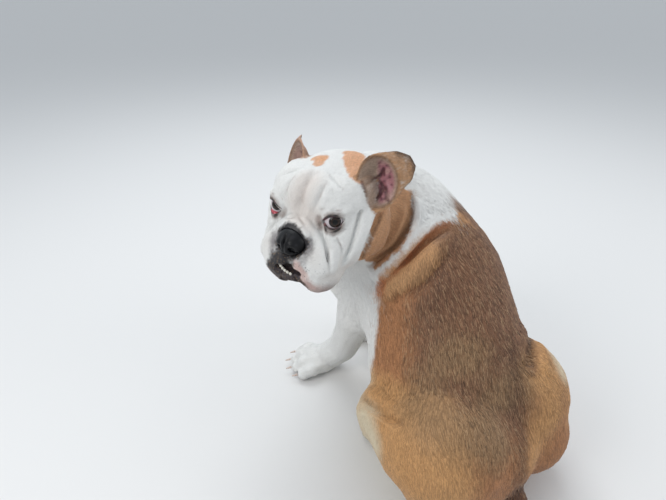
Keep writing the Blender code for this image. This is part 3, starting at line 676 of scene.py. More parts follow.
@dataclass
class Paint:
    """Markings, painted shade and painted highlights laid one over another on a set of places.

    Attributes:
        anatomy: Places on the dog.
        places: The places to paint.
        normals: The surface's direction there.
        near: How far each place is from each group of solids, in metres.
    """

    anatomy: Anatomy
    places: np.ndarray
    normals: np.ndarray
    near: dict[str, np.ndarray]
    colour: np.ndarray = field(init=False)
    bare: np.ndarray = field(init=False)
    speck: np.ndarray = field(init=False)

    def __post_init__(self) -> None:
        """Starts all white and furred."""
        count = len(self.places)
        self.colour = np.tile(Tone.WHITE.linear, (count, 1))
        self.bare = np.zeros(count)
        self.speck = np.zeros(count)
        self.body = self.anatomy.to_body(self.places)
        self.head = self.anatomy.to_head(self.places)
        self.along, self.turn = self.anatomy.unroll(self.body)
        self.fringe = waves(self.places, 0.011, 5) + 0.7 * waves(self.places, 0.0045, 6)

    def lay(self, tone: Tone, mask: np.ndarray) -> None:
        """Lays a colour where a mask is above 0."""
        self.colour += (tone.linear - self.colour) * mask[:, None]

    def trace(self, path: np.ndarray, radius: float, soft: float, ragged: float = 0.0) -> np.ndarray:
        """A soft mask round a path.

        Args:
            path: The path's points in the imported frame.
            radius: Half width in metres.
            soft: Half the width of its soft edge.
            ragged: How far the edge wanders.

        Returns:
            A value from 0 to 1 for each place.
        """
        distance, _ = path_distance(self.places, path, radius + soft + 2.5 * ragged + 0.004)
        return 1 - ramp(distance + ragged * self.fringe, radius - soft, radius + soft)

    def streak(self, tone: Tone, points: Path, radius: float, soft: float, strength: float = 1.0,
               ragged: float = 0.0015) -> None:
        """Lays a colour along a path of the modelling frame."""
        path = smooth_path(self.anatomy.body(points), 24)
        self.lay(tone, strength * self.trace(path, radius, soft, ragged))

    def mark(self, tone: Tone, points: Path, radius: float, soft: float, strength: float = 1.0,
             sides: tuple[Side, ...] = (Side.LEFT, Side.RIGHT), ragged: float = 0.8) -> None:
        """Lays a colour along a path of the head, all in millimetres."""
        for side in sides:
            path = smooth_path(self.anatomy.head(points, side), 24)
            self.lay(tone, strength * self.trace(path, radius * MM, soft * MM, ragged * MM))

    def across(self, border: Path) -> np.ndarray:
        """How far each place is ahead of a border that runs across the trunk."""
        along, turn = self.anatomy.unroll(np.array(border))
        order = np.argsort(turn)
        return self.along - np.interp(self.turn, turn[order], along[order])

    def beside(self, border: Path) -> np.ndarray:
        """How far each place is turned left of a border that runs along the trunk."""
        along, turn = self.anatomy.unroll(np.array(border))
        order = np.argsort(along)
        return self.turn - np.interp(self.along, along[order], turn[order])

    def group(self, name: str, low: float = 0.002, high: float = 0.012) -> np.ndarray:
        """A mask of what lies on a group of solids."""
        return 1 - ramp(self.near[name] + 0.002 * self.fringe, low, high)

    def paint_body(self) -> None:
        """Lays the red-brown saddle, rolls and haunches over the white, with painted shade in the body's creases
        and the neck hollow and a painted highlight on the roll.
        """
        white_leg = self.group("foreleg", 0.004, 0.010)
        reach = self.across(WHITE_BORDER) + 0.0020 * self.fringe
        body = (1 - ramp(reach, -0.009, 0.007)) * (1 - white_leg)
        self.lay(Tone.RUST, body)
        patchy = ramp(waves(self.places, 0.07, 21), -0.5, 0.9)
        back = ramp(self.beside(SADDLE_RIGHT) + 0.03 * self.fringe, -0.16, 0.16)
        back *= 1 - ramp(self.beside(SADDLE_LEFT) + 0.03 * self.fringe, -0.34, 0.26)
        back *= 1 - ramp(self.across(ROLL_END) + 0.0020 * self.fringe, -0.006, 0.004)
        back *= ramp(self.along, -0.185, -0.115) * body
        self.lay(Tone.SADDLE, back * 0.95)
        middle = ramp(self.along, 0.02, -0.04) * patchy
        self.lay(Tone.OLIVE, back * middle * 0.75)
        behind = (1 - ramp(self.across(ROLL_END) + 0.0020 * self.fringe, -0.003, 0.003))
        # Lighter tan on the roll: its tan coat, and a painted highlight where light falls on the roll.
        self.lay(Tone.ROLL, body * (1 - behind) * (1 - ramp(np.abs(self.turn - 0.55), 0.55, 1.0)))
        for name in ("thigh", "hindpaw"):
            self.lay(Tone.GOLD, self.group(name, 0.001, 0.022) * body)
        self.lay(Tone.CREAM, self.group("hindpaw", 0.002, 0.020) * body)
        self.lay(Tone.CREAM, ramp(np.abs(self.turn), 2.0, 2.5) * body)
        self.streak(Tone.OLIVE, ((0.078, 0.066, 0.170), (0.080, 0.100, 0.168), (0.064, 0.128, 0.162),
                                 (0.040, 0.146, 0.150)), 0.030, 0.022, 0.75, 0.003)
        self.streak(Tone.GOLD, ((-0.074, 0.122, 0.178), (-0.058, 0.148, 0.142), (-0.024, 0.164, 0.104)),
                    0.024, 0.020, 0.85, 0.003)
        self.streak(Tone.CREAM, ((-0.118, 0.112, 0.174), (-0.106, 0.131, 0.160)), 0.012, 0.011, 0.8)
        self.streak(Tone.CREAM, ((0.112, 0.012, 0.106), (0.119, 0.034, 0.088)), 0.018, 0.015, 0.95)
        self.streak(Tone.CREAM, ((0.100, -0.010, 0.080), (0.108, 0.030, 0.030)), 0.022, 0.018, 0.8)
        self.streak(Tone.CREAM, ((-0.150, 0.100, 0.150), (-0.132, 0.120, 0.166), (-0.135, 0.080, 0.168)),
                    0.014, 0.012, 0.9)
        self.streak(Tone.UMBER, SPINE[3:], 0.010, 0.010, 0.55)
        self.lay(Tone.UMBER, self.group("tail", 0.001, 0.014) * 0.9)
        # Painted shade in the crease above the roll, over the rust coat.
        self.streak(Tone.CREASE, ((0.055, -0.044, 0.240), (0.046, -0.038, 0.258), (0.024, -0.029, 0.286),
                                  (-0.010, -0.026, 0.309), (-0.045, -0.026, 0.316)), 0.0075, 0.004, 0.9)
        self.streak(Tone.SADDLE, ((-0.020, -0.012, 0.304), (-0.055, -0.018, 0.312)), 0.014, 0.009, 0.85)
        self.streak(Tone.SADDLE, ((-0.093, -0.051, 0.316), (-0.102, -0.042, 0.305), (-0.101, -0.023, 0.295),
                                  (-0.095, -0.007, 0.289)), 0.020, 0.012, 0.9, 0.003)
        self.streak(Tone.UMBER, ((0.030, 0.022, 0.245), (0.010, 0.010, 0.268)), 0.020, 0.022, 0.40, 0.003)
        # Painted shade: a thin shadow line in the left thigh's crease under the flank, and a dark band in the
        # right loin's crease.
        self.streak(Tone.UMBER, BODY_FOLDS[3].points, 0.0024, 0.0026, 0.6, 0.0006)
        self.streak(Tone.UMBER, BODY_FOLDS[4].points, 0.007, 0.006, 0.95, 0.001)
        self.streak(Tone.STRIP, ((0.006, -0.060, 0.352), (0.017, -0.050, 0.337), (0.030, -0.046, 0.318),
                                 (0.043, -0.052, 0.300), (0.050, -0.058, 0.289)), 0.0175, 0.0022)
        self.streak(Tone.STRIP, ((0.048, -0.042, 0.354), (0.060, -0.033, 0.343), (0.066, -0.033, 0.322),
                                 (0.072, -0.038, 0.305)), 0.0152, 0.0022)
        self.streak(Tone.STRIP, ((0.046, -0.041, 0.350), (0.043, -0.038, 0.328), (0.052, -0.042, 0.306)),
                    0.0125, 0.0025)
        self.streak(Tone.STRIP, ((0.072, -0.032, 0.340), (0.075, -0.032, 0.326), (0.078, -0.035, 0.312)),
                    0.0065, 0.0020)
        self.streak(Tone.STRIP, ((-0.009, -0.066, 0.351), (-0.003, -0.059, 0.338), (0.011, -0.048, 0.313),
                                 (0.026, -0.044, 0.300), (0.039, -0.043, 0.290)), 0.0062, 0.0020)
        # Painted shade: a dark line along the neck's hollow, at the edge of the tan strip.
        self.streak(Tone.UMBER, NECK_HOLLOW, 0.0024, 0.0030, 0.8, 0.0006)

    def paint_head(self) -> None:
        """Lays the face's patches and pigment, and painted shade along its folds, round the eyes, where the left
        ear and cheek meet the head and neck, under the flews, in the mouth and on the chin.
        """
        left = (Side.LEFT,)
        self.mark(Tone.BLUSH, ((0, 40, 34), (0, 58, 12), (10, 60, 2)), 17, 13, 0.45, left)
        self.mark(Tone.BLUSH, ((30, 74, -34), (34, 70, -52)), 10, 9, 0.25)
        self.mark(Tone.PATCH, ((-20, -6, 44), (-10, -5, 46)), 7.0, 1.5, 0.9, left, 0.5)
        self.mark(Tone.PATCH, ((-12, -4, 46), (-9, 6, 44)), 7.0, 1.5, 0.9, left, 0.5)
        self.mark(Tone.PATCH, ((14, -34, 45), (27, -16, 45), (38, -5, 42), (48, 5, 38)), 13, 2, 0.95, left)
        self.mark(Tone.STRIP, ((58, -16, 4), (62, -24, -16)), 9, 4, 0.9)
        self.mark(Tone.EAR_HAIR, ((57, 8, 37), (61, 9, 28), (65, 11, 18), (68, 10, 8)), 6.5, 2.5, 0.9, left)
        self.mark(Tone.EAR_HAIR, ((56, -6, 33), (62, 0, 26), (64, 6, 20), (65, 12, 14)), 5.5, 2.0, 0.9, left)
        self.mark(Tone.EAR_HAIR, ((55, 6, 36), (55, -4, 35)), 5.0, 2.0, 0.9, left)
        # Painted shade in the crease where the left ear's front rim meets the head, in two dark lines.
        self.mark(Tone.EAR_EDGE, ((49, 8, 41), (52, 11, 38), (56, 13, 33), (60, 15, 27), (64, 17, 20)),
                  1.7, 1.5, 0.8, left, 0.4)
        self.mark(Tone.EAR_DEEP, ((53, 13, 38), (57, 16, 27), (62, 16, 15), (66, 15, 6)), 1.5, 1.6, 0.7, left)
        # Painted shade along the brow furrow and along every fold of the head, darker in the fold below each eye
        # and in the left brow crease.
        self.mark(Tone.FOLD, BROW_FOLD.points, 2.4, 2.2, 0.25, left)
        for index, fold in enumerate(HEAD_FOLDS):
            shade = Tone.TEAR if index in (0, 7) else Tone.FOLD
            sides = left if index == 7 else tuple(Side)
            self.mark(shade, fold.points, 0.9, 1.0, 0.85 if index in (0, 3) else 0.55, sides, 0.2)
        # Painted shade: a thin dark line where the left cheek meets the neck.
        self.mark(Tone.UMBER, ((74, 6, -4), (74, 15, -13), (71, 25.5, -29), (66, 28, -40), (60, 25, -53)),
                  1.3, 1.6, 0.7, left, 0.3)
        self.mark(Tone.FLEW, ((14, 84, -64), (24, 80, -70), (30, 72, -78)), 12, 7, 0.85)
        # Grey on the lowest part of the flews: their grey speckling, and painted shade under the head.
        self.mark(Tone.SMOKE, ((26, 70, -88), (36, 66, -78)), 12, 9, 0.55)
        self.mark(Tone.SMOKE, ((22, 76, -20), (22, 78, -34), (18, 84, -44)), 7, 5, 0.8, ragged=1.6)
        nose = np.linalg.norm((self.head - (0, 73, -23)) / (1.0, 1.0, 0.95), axis=1)
        self.lay(Tone.PIGMENT, (1 - ramp(nose + 1.2 * self.fringe, 20.5, 24.5)))
        self.mark(Tone.FLEW, ((14, 86, -46), (23, 84, -56), (25, 80, -68)), 8, 3, 0.9, left)
        self.mark(Tone.PIGMENT, ((-6, 88, -38), (-14, 88, -48), (-22, 84, -60)), 11.5, 3.5, 0.97, left, 1.6)
        self.mark(Tone.PIGMENT, ((0, 90, -38), (2, 90, -46), (-6, 90, -52)), 8, 2.5, 0.97, left)
        self.mark(Tone.LIP, ((-34, 62, -62), (-22, 80, -56), (0, 90, -53), (12, 88, -57), (17, 84, -64),
                             (20, 76, -76)), 4.6, 1.8, 0.97, left)
        # Dark from below the teeth to the chin's edge: the lower lip's black pigment, and painted shade on the
        # chin under it.
        self.mark(Tone.LIP, ((-26, 78, -68), (-12, 84, -72), (2, 87, -70), (10, 84, -74)), 9, 3, 0.95, left, 1.6)
        self.mark(Tone.LIP, ((-14, 88, -62), (-4, 90, -64), (6, 90, -63), (12, 87, -66)), 6.5, 2, 0.97, left)
        self.mark(Tone.LIP, ((-20, 80, -78), (-8, 83, -80), (5, 83, -80), (14, 80, -78)), 8, 3, 0.92, left, 1.6)
        # Painted shade round each eye's opening and at its inner corner; the narrow ring is the lids' dark
        # pigment.
        for side in Side:
            frame = self.anatomy.gaze(side)
            rim = np.array([frame @ Vector((0.0126 * math.cos(t), 0.0105, 0.0088 * math.sin(t)))
                            for t in np.linspace(0, 6.3, 24)])
            self.lay(Tone.TEAR, 0.75 * self.trace(rim, 0.0044, 0.0034, 0.0004))
            self.lay(Tone.PIGMENT, 0.95 * self.trace(rim, 0.0021, 0.0012, 0.0002))
        self.mark(Tone.TEAR, ((27, 56, -6), (24, 57, 2)), 3.6, 2.8, 0.75, ragged=0.3)
        self.mark(Tone.PIGMENT, ((33, 56.7, 2.6), (28.7, 55, -0.3), (26, 55.4, -3.2)), 1.8, 2.6, 0.75, left, 0.3)
        self.mark(Tone.TEAR, ((25, 53.5, 3), (23, 54.3, -1)), 2.6, 3.6, 0.6, left, 0.3)
        muzzle = ramp(self.head[:, 1], 60, 76) * ramp(-self.head[:, 2], 28, 44)
        muzzle *= 1 - self.group("neck", 0.001, 0.010)
        self.speck = muzzle * ramp(55 - np.abs(self.head[:, 0]), 0, 20)
        # Dark inside the mouth's gap: the lips' black pigment, and painted shade inside the mouth.
        deep = np.linalg.norm((self.head - (0, 78, -54)) / (21, 22, 6), axis=1)
        self.lay(Tone.LIP, 1 - ramp(deep, 0.85, 1.05))
        self.bare = np.maximum(0.55 * self.speck, 1 - ramp(nose, 21, 25))
        self.bare = np.maximum(self.bare, 1 - ramp(deep, 0.9, 1.2))

    def paint_ear(self, side: Side) -> None:
        """Lays the colours of an ear's back, edge and cup, with painted shade in the cup's folds and a painted
        highlight on its upper part.
        """
        local = self.anatomy.to_ear(self.places, side)
        way = self.anatomy.to_ear_way(self.normals, side)
        key = "ear_left" if side is Side.LEFT else "ear_right"
        flap = 1 - ramp(self.near[key] + 0.001 * self.fringe, 0.001, 0.005)
        around = np.hypot((local[:, 0] - 2) / 26, (local[:, 1] - 2) / 33)
        radial = (way[:, 0] * local[:, 0] / 26 + way[:, 1] * local[:, 1] / 33) / (around + 0.05)
        facing = ramp(0.7 * way[:, 2] - 0.7 * radial, -0.05, 0.25)
        self.lay(Tone.EAR_BACK, flap)
        if side is Side.RIGHT:
            self.lay(Tone.LOBE, 0.4 * flap)
        self.lay(Tone.EAR_EDGE, flap * 0.6 * ramp(waves(self.places, 0.02, 8), 0.1, 1.2))
        cup = facing * (1 - ramp(around, 0.76, 0.90)) * flap
        self.lay(Tone.EAR_HAIR, cup)
        pink = cup * ramp(local[:, 0], 0, 5) * (1 - ramp(around, 0.62, 0.82))
        pink *= 1.0 if side is Side.LEFT else 0.3
        self.lay(Tone.MAUVE, pink)
        spots = ramp(waves(self.places, 0.013, 61), 0.1, 0.9)
        # Painted highlight: lighter spots on the upper part of the cup, strongest in the left ear.
        self.lay(Tone.LOBE, 0.5 * spots * pink * ramp(local[:, 1], 0, 8))
        self.lay(Tone.EAR_DEEP, 0.8 * (1 - spots) * ramp(waves(self.places, 0.009, 62), 0.0, 0.8) * pink)
        # Painted shade in the cup's pressed folds.
        for fold in EAR_FOLDS:
            path = smooth_path(np.array(fold.points, float) * MM)
            distance, _ = path_distance(local * (MM, MM, 0), path)
            self.lay(Tone.EAR_DEEP, 0.85 * cup * (1 - ramp(distance, 0.0008, 0.0030)))
        lobe = np.exp(-((local[:, 0] - 17) / 5) ** 2 - ((local[:, 1] + 15) / 6) ** 2)
        self.lay(Tone.LOBE, cup * 0.9 * lobe)
        rim = facing * np.exp(-((around - 0.84) / 0.05) ** 2) * flap
        self.lay(Tone.EAR_EDGE, 0.55 * rim)
        self.bare = np.maximum(self.bare, pink)

    def all(self) -> "Paint":
        """Lays every marking, with its painted shade and highlights, in order."""
        self.paint_body()
        self.paint_head()
        for side in Side:
            self.paint_ear(side)
        soles = ramp(-self.normals[:, 2], 0.7, 0.9) * (1 - ramp(self.places[:, 2], 0.002, 0.005))
        self.lay(Tone.PAD, soles * np.maximum(self.group("foreleg"), self.group("hindpaw")) * 0.6)
        self.colour = np.clip(self.colour, 0, 1)
        return self


def store(mesh: bpy.types.Mesh, paint: Paint) -> None:
    """Stores a paint's colours and masks on the vertices of a mesh."""
    rows = np.column_stack((paint.colour, np.ones(len(paint.colour)))).astype(np.float32)
    mesh.color_attributes.new("coat", "FLOAT_COLOR", "POINT").data.foreach_set("color", rows.ravel())
    for name, values in (("bare", paint.bare), ("speck", paint.speck)):
        layer = mesh.attributes.new(name, "FLOAT", "POINT")
        layer.data.foreach_set("value", values.astype(np.float32))


# Skin


@dataclass
class Fold:
    """A crease pressed into the skin, with the skin swelling on both sides.

    Attributes:
        points: The crease's points.
        width: Half width in metres.
        depth: Depth in metres.
        roll: Height of the swelling beside it.
        on_head: Whether the points are millimetres of the head, on both sides.
    """

    points: Path
    width: float
    depth: float
    roll: float
    on_head: bool = True

    def press(self, places: np.ndarray, normals: np.ndarray, path: np.ndarray,
              measured: np.ndarray | None = None, share: np.ndarray | float = 1.0) -> None:
        """Moves the places that the crease reaches.

        Args:
            places: The places, which are moved.
            normals: The surface's direction there.
            path: The crease's path.
            measured: The places as the path's coordinates have them, if these are others.
            share: How much of the crease each place takes.
        """
        distance, along = path_distance(places if measured is None else measured, path)
        fade = np.clip(5 * np.minimum(along, 1 - along), 0, 1) ** 0.7
        pressed = self.depth * np.exp(-(distance / self.width) ** 2)
        swell = self.roll * np.exp(-((distance - 2.3 * self.width) / (1.4 * self.width)) ** 2)
        places += normals * ((swell - pressed) * fade * share)[:, None]


HEAD_FOLDS = (
    Fold(((28, 58, -4), (39, 64, -21), (44, 71, -38), (43, 72, -56)), 0.0023, 0.0034, 0.0020),
    Fold(((48, 56, -13), (54, 56, -28), (55, 60, -42), (52, 64, -56)), 0.0020, 0.0016, 0.0010),
    Fold(((55, 20, 17), (59, 28, 3), (60, 40, -15), (57, 50, -34), (52, 58, -52)), 0.0020, 0.0022, 0.0012),
    Fold(((68, -13, 0), (71, 8, -3), (70, 25, -20), (66, 30, -38), (52, 26, -68)), 0.0026, 0.0034, 0.0020),
    Fold(((34, 58, -9), (43, 57, -12), (52, 48, -8)), 0.0018, 0.0012, 0.0007),
    Fold(((26, 52, 13), (36, 54, 17), (49, 46, 14)), 0.0018, 0.0014, 0.0008),
    Fold(((14, 60, 2), (20, 56, 14), (23, 46, 27), (22, 36, 36)), 0.0028, 0.0016, 0.0010),
    Fold(((19, 22, 40.5), (27, 25.5, 38.4), (36, 30.5, 36), (43, 33, 32.6)), 0.0024, 0.0018, 0.0008),
    Fold(((2, 62, 2), (14, 66, -6), (24, 68, -18), (28, 74, -32)), 0.0022, 0.0020, 0.0010),
    Fold(((3, 80, -48), (9, 88, -57), (13, 87, -68), (20, 78, -78)), 0.0016, 0.0030, 0.0010),
)
EAR_FOLDS = (
    Fold(((-13, -3, 0), (-9, 1, 0), (-2, 4, 0), (5, 8, 0), (9, 16, 0)), 0.0020, 0.0018, 0.0014),
    Fold(((4, 2, 0), (8, -4, 0), (5, -12, 0), (0, -18, 0)), 0.0020, 0.0016, 0.0012),
    Fold(((11, -5, 0), (12, -13, 0), (15, -20, 0)), 0.0018, 0.0014, 0.0012),
)
BROW_FOLD = Fold(((0, 20, 46), (0, 40, 32), (0, 56, 12), (0, 62, 4)), 0.0050, 0.0020, 0.0008)
LIP_SEAM = Fold(((0, 89, -36), (0, 91, -42), (0, 90, -49)), 0.0013, 0.0022, 0.0006)
BODY_FOLDS = (
    Fold(((-0.016, -0.066, 0.354), (0.003, -0.048, 0.328), (0.024, -0.043, 0.300), (0.041, -0.054, 0.283),
          (0.054, -0.068, 0.268)), 0.0042, 0.0050, 0.0030, False),
    Fold(((0.050, -0.042, 0.247), (0.041, -0.035, 0.263), (0.018, -0.026, 0.289), (-0.011, -0.024, 0.308),
          (-0.040, -0.024, 0.315)), 0.0046, 0.0050, 0.0040, False),
    Fold(((0.052, -0.030, 0.236), (0.040, -0.017, 0.252), (0.017, 0.000, 0.270), (-0.020, -0.004, 0.296)),
         0.0060, 0.0028, 0.0016, False),
    Fold(((0.096, -0.020, 0.112), (0.100, -0.004, 0.117), (0.101, 0.020, 0.124), (0.101, 0.046, 0.133),
          (0.104, 0.070, 0.148)), 0.0046, 0.0062, 0.0024, False),
    Fold(((-0.102, 0.075, 0.178), (-0.077, 0.100, 0.186), (-0.058, 0.116, 0.180)),
         0.0066, 0.0052, 0.0030, False),
)


GROUPS = {
    "foreleg": ("upper_foreleg", "lower_foreleg", "forepaw"), "thigh": ("thigh", "shank"),
    "hindpaw": ("hindpaw",), "tail": ("tail",), "neck": ("neck",), "trunk": ("chest", "rump"),
    "ear_left": ("ear_left",), "ear_right": ("ear_right",),
}


@dataclass
class Skin:
    """The one skin over all nodes of flesh.

    Attributes:
        anatomy: Places on the dog.
        voxel: Fineness of the fused surface in metres.
        budget: Triangles of the finished skin.
        inset: How deep it lies inside the solids, on the head and on the body.
    """

    anatomy: Anatomy
    voxel: float = 0.0014
    budget: int = 188000
    inset: tuple[float, float] = (0.0006, 0.0013)
    lid_width: float = 0.0120
    lid_heights: tuple[float, float] = (0.0082, 0.0078)
    dry_nodes: tuple[str, ...] = ("eye", "nose", "claw")
    item: bpy.types.Object = field(init=False)
    near: dict[str, np.ndarray] = field(init=False)
    paint: Paint = field(init=False)

    def nodes(self) -> list[str]:
        """The names of the nodes of flesh."""
        names = [item["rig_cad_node"] for item in bpy.data.objects if "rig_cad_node" in item.keys()]
        return sorted(name for name in names if not name.startswith(self.dry_nodes))

    def fuse(self) -> bpy.types.Object:
        """One closed surface round the nodes of flesh, with the eye sockets filled.

        Returns:
            The fused surface.
        """
        bm = bmesh.new()
        for name in self.nodes():
            bm.from_mesh(bpy.data.objects[name].data)
        bmesh.ops.remove_doubles(bm, verts=bm.verts, dist=1e-6)
        for side in Side:
            centre = Matrix.Translation(Vector(self.anatomy.head([self.anatomy.eye_place], side)[0]))
            bmesh.ops.create_icosphere(bm, subdivisions=4, radius=0.0132, matrix=centre)
        item = from_bmesh(bm, "skin")
        remesh = item.modifiers.new("fuse", "REMESH")
        remesh.mode = "VOXEL"
        remesh.voxel_size = self.voxel
        soften = item.modifiers.new("soften", "SMOOTH")
        soften.factor = 0.5
        soften.iterations = 9
        return applied(item)

    def crease(self, mesh: bpy.types.Mesh) -> None:
        """Presses the folds into the skin and sets it in by the coat's depth."""
        places, normals = array_of(mesh, "co"), array_of(mesh, "normal")
        head = np.linalg.norm(self.anatomy.to_head(places) - (0, 15, -15), axis=1)
        deep = self.inset[0] + (self.inset[1] - self.inset[0]) * ramp(head, 80, 120)
        deep *= ramp(places[:, 2], 0.0005, 0.006)
        places -= normals * deep[:, None]
        for fold in HEAD_FOLDS:
            for side in Side:
                fold.press(places, normals, smooth_path(self.anatomy.head(fold.points, side)))
        for fold in (BROW_FOLD, LIP_SEAM):
            fold.press(places, normals, smooth_path(self.anatomy.head(fold.points)))
        for fold in BODY_FOLDS:
            fold.press(places, normals, smooth_path(self.anatomy.body(fold.points)))
        for side in Side:
            local = self.anatomy.to_ear(places, side)
            share = ramp(self.anatomy.to_ear_way(normals, side)[:, 2], 0.1, 0.6)
            share *= 1 - ramp(np.hypot(local[:, 0] / 26, local[:, 1] / 33), 0.75, 0.95)
            for fold in EAR_FOLDS:
                fold.press(places, normals, smooth_path(np.array(fold.points, float) * MM),
                           local * (MM, MM, 0), share * (np.abs(local[:, 2] + 8) < 16))
        put_places(mesh, places)

    def lid_point(self, turn: float) -> tuple[float, float]:
        """A point of the almond between the lids, in metres across and up."""
        upper, lower = self.lid_heights
        across = math.cos(turn)
        tall = upper if math.sin(turn) > 0 else lower
        return across * self.lid_width, math.sin(turn) * tall * (1 - 0.35 * across * across)

    def open_eye(self, side: Side) -> None:
        """Opens one eye socket through the lids."""
        frame = self.anatomy.gaze(side)
        bm = bmesh.new()
        bmesh.ops.create_icosphere(bm, subdivisions=5, radius=0.01135, matrix=frame)
        cut(self.item, from_bmesh(bm, "socket"))
        bm = bmesh.new()
        bmesh.ops.create_cone(bm, cap_ends=True, segments=72, radius1=1, radius2=1, depth=1)
        for vertex in bm.verts:
            across, up = self.lid_point(math.atan2(vertex.co.y, vertex.co.x))
            out = 0.004 + 0.020 * (vertex.co.z + 0.5)
            flare = 1.0 + 0.06 * (vertex.co.z + 0.5)
            vertex.co = frame @ Vector((across * flare, out, up * flare))
        cut(self.item, from_bmesh(bm, "slit"))

    def lighten(self) -> None:
        """Thins the triangles of the body and keeps those of the head."""
        mesh = self.item.data
        group = self.item.vertex_groups.new(name="body")
        places = array_of(mesh, "co")
        head = np.linalg.norm(self.anatomy.to_head(places) - (0, 15, -15), axis=1)
        share = 0.08 + 0.92 * ramp(head, 85, 115)
        paws = ramp(places[:, 2], 0.05, 0.03) * ramp(places[:, 1], 0.0, -0.04)
        share = np.minimum(share, 1 - 0.7 * paws)
        for level in range(1, 11):
            chosen = np.nonzero((share * 10).round() == level)[0]
            group.add(chosen.tolist(), level / 10, "REPLACE")
        change = self.item.modifiers.new("lighten", "DECIMATE")
        change.vertex_group = group.name
        change.vertex_group_factor = 1.0
        change.ratio = self.budget / (2 * len(mesh.polygons))
        applied(self.item)
        self.item.vertex_groups.clear()

    def distances(self, places: np.ndarray) -> dict[str, np.ndarray]:
        """How far places are from each group of solids.

        Args:
            places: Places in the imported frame.

        Returns:
            For each group's name, a distance for each place, at most 50 mm.
        """
        found = {}
        for group, starts in GROUPS.items():
            bm = bmesh.new()
            for name in self.nodes():
                if name.startswith(starts):
                    bm.from_mesh(bpy.data.objects[name].data)
            tree = BVHTree.FromBMesh(bm)
            bm.free()
            found[group] = np.array([tree.find_nearest(place, 0.05)[3] or 0.05 for place in places])
        return found

    def build(self) -> bpy.types.Object:
        """Builds the skin's shape and paints it.

        Returns:
            The skin.
        """
        self.item = self.fuse()
        LOG.info("fused skin: %d faces", len(self.item.data.polygons))
        self.crease(self.item.data)
        for side in Side:
            self.open_eye(side)
        self.lighten()
        mesh = self.item.data
        mesh.shade_smooth()
        self.near = self.distances(array_of(mesh, "co"))
        self.paint = Paint(self.anatomy, array_of(mesh, "co"), array_of(mesh, "normal"), self.near).all()
        store(mesh, self.paint)
        mesh.materials.append(CoatFinish("skin", 0.8, 0.1, 0.0003, 0.6).material())
        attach(self.item, "root")
        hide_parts(*self.nodes())
        return self.item


# Eyes, nose and teeth


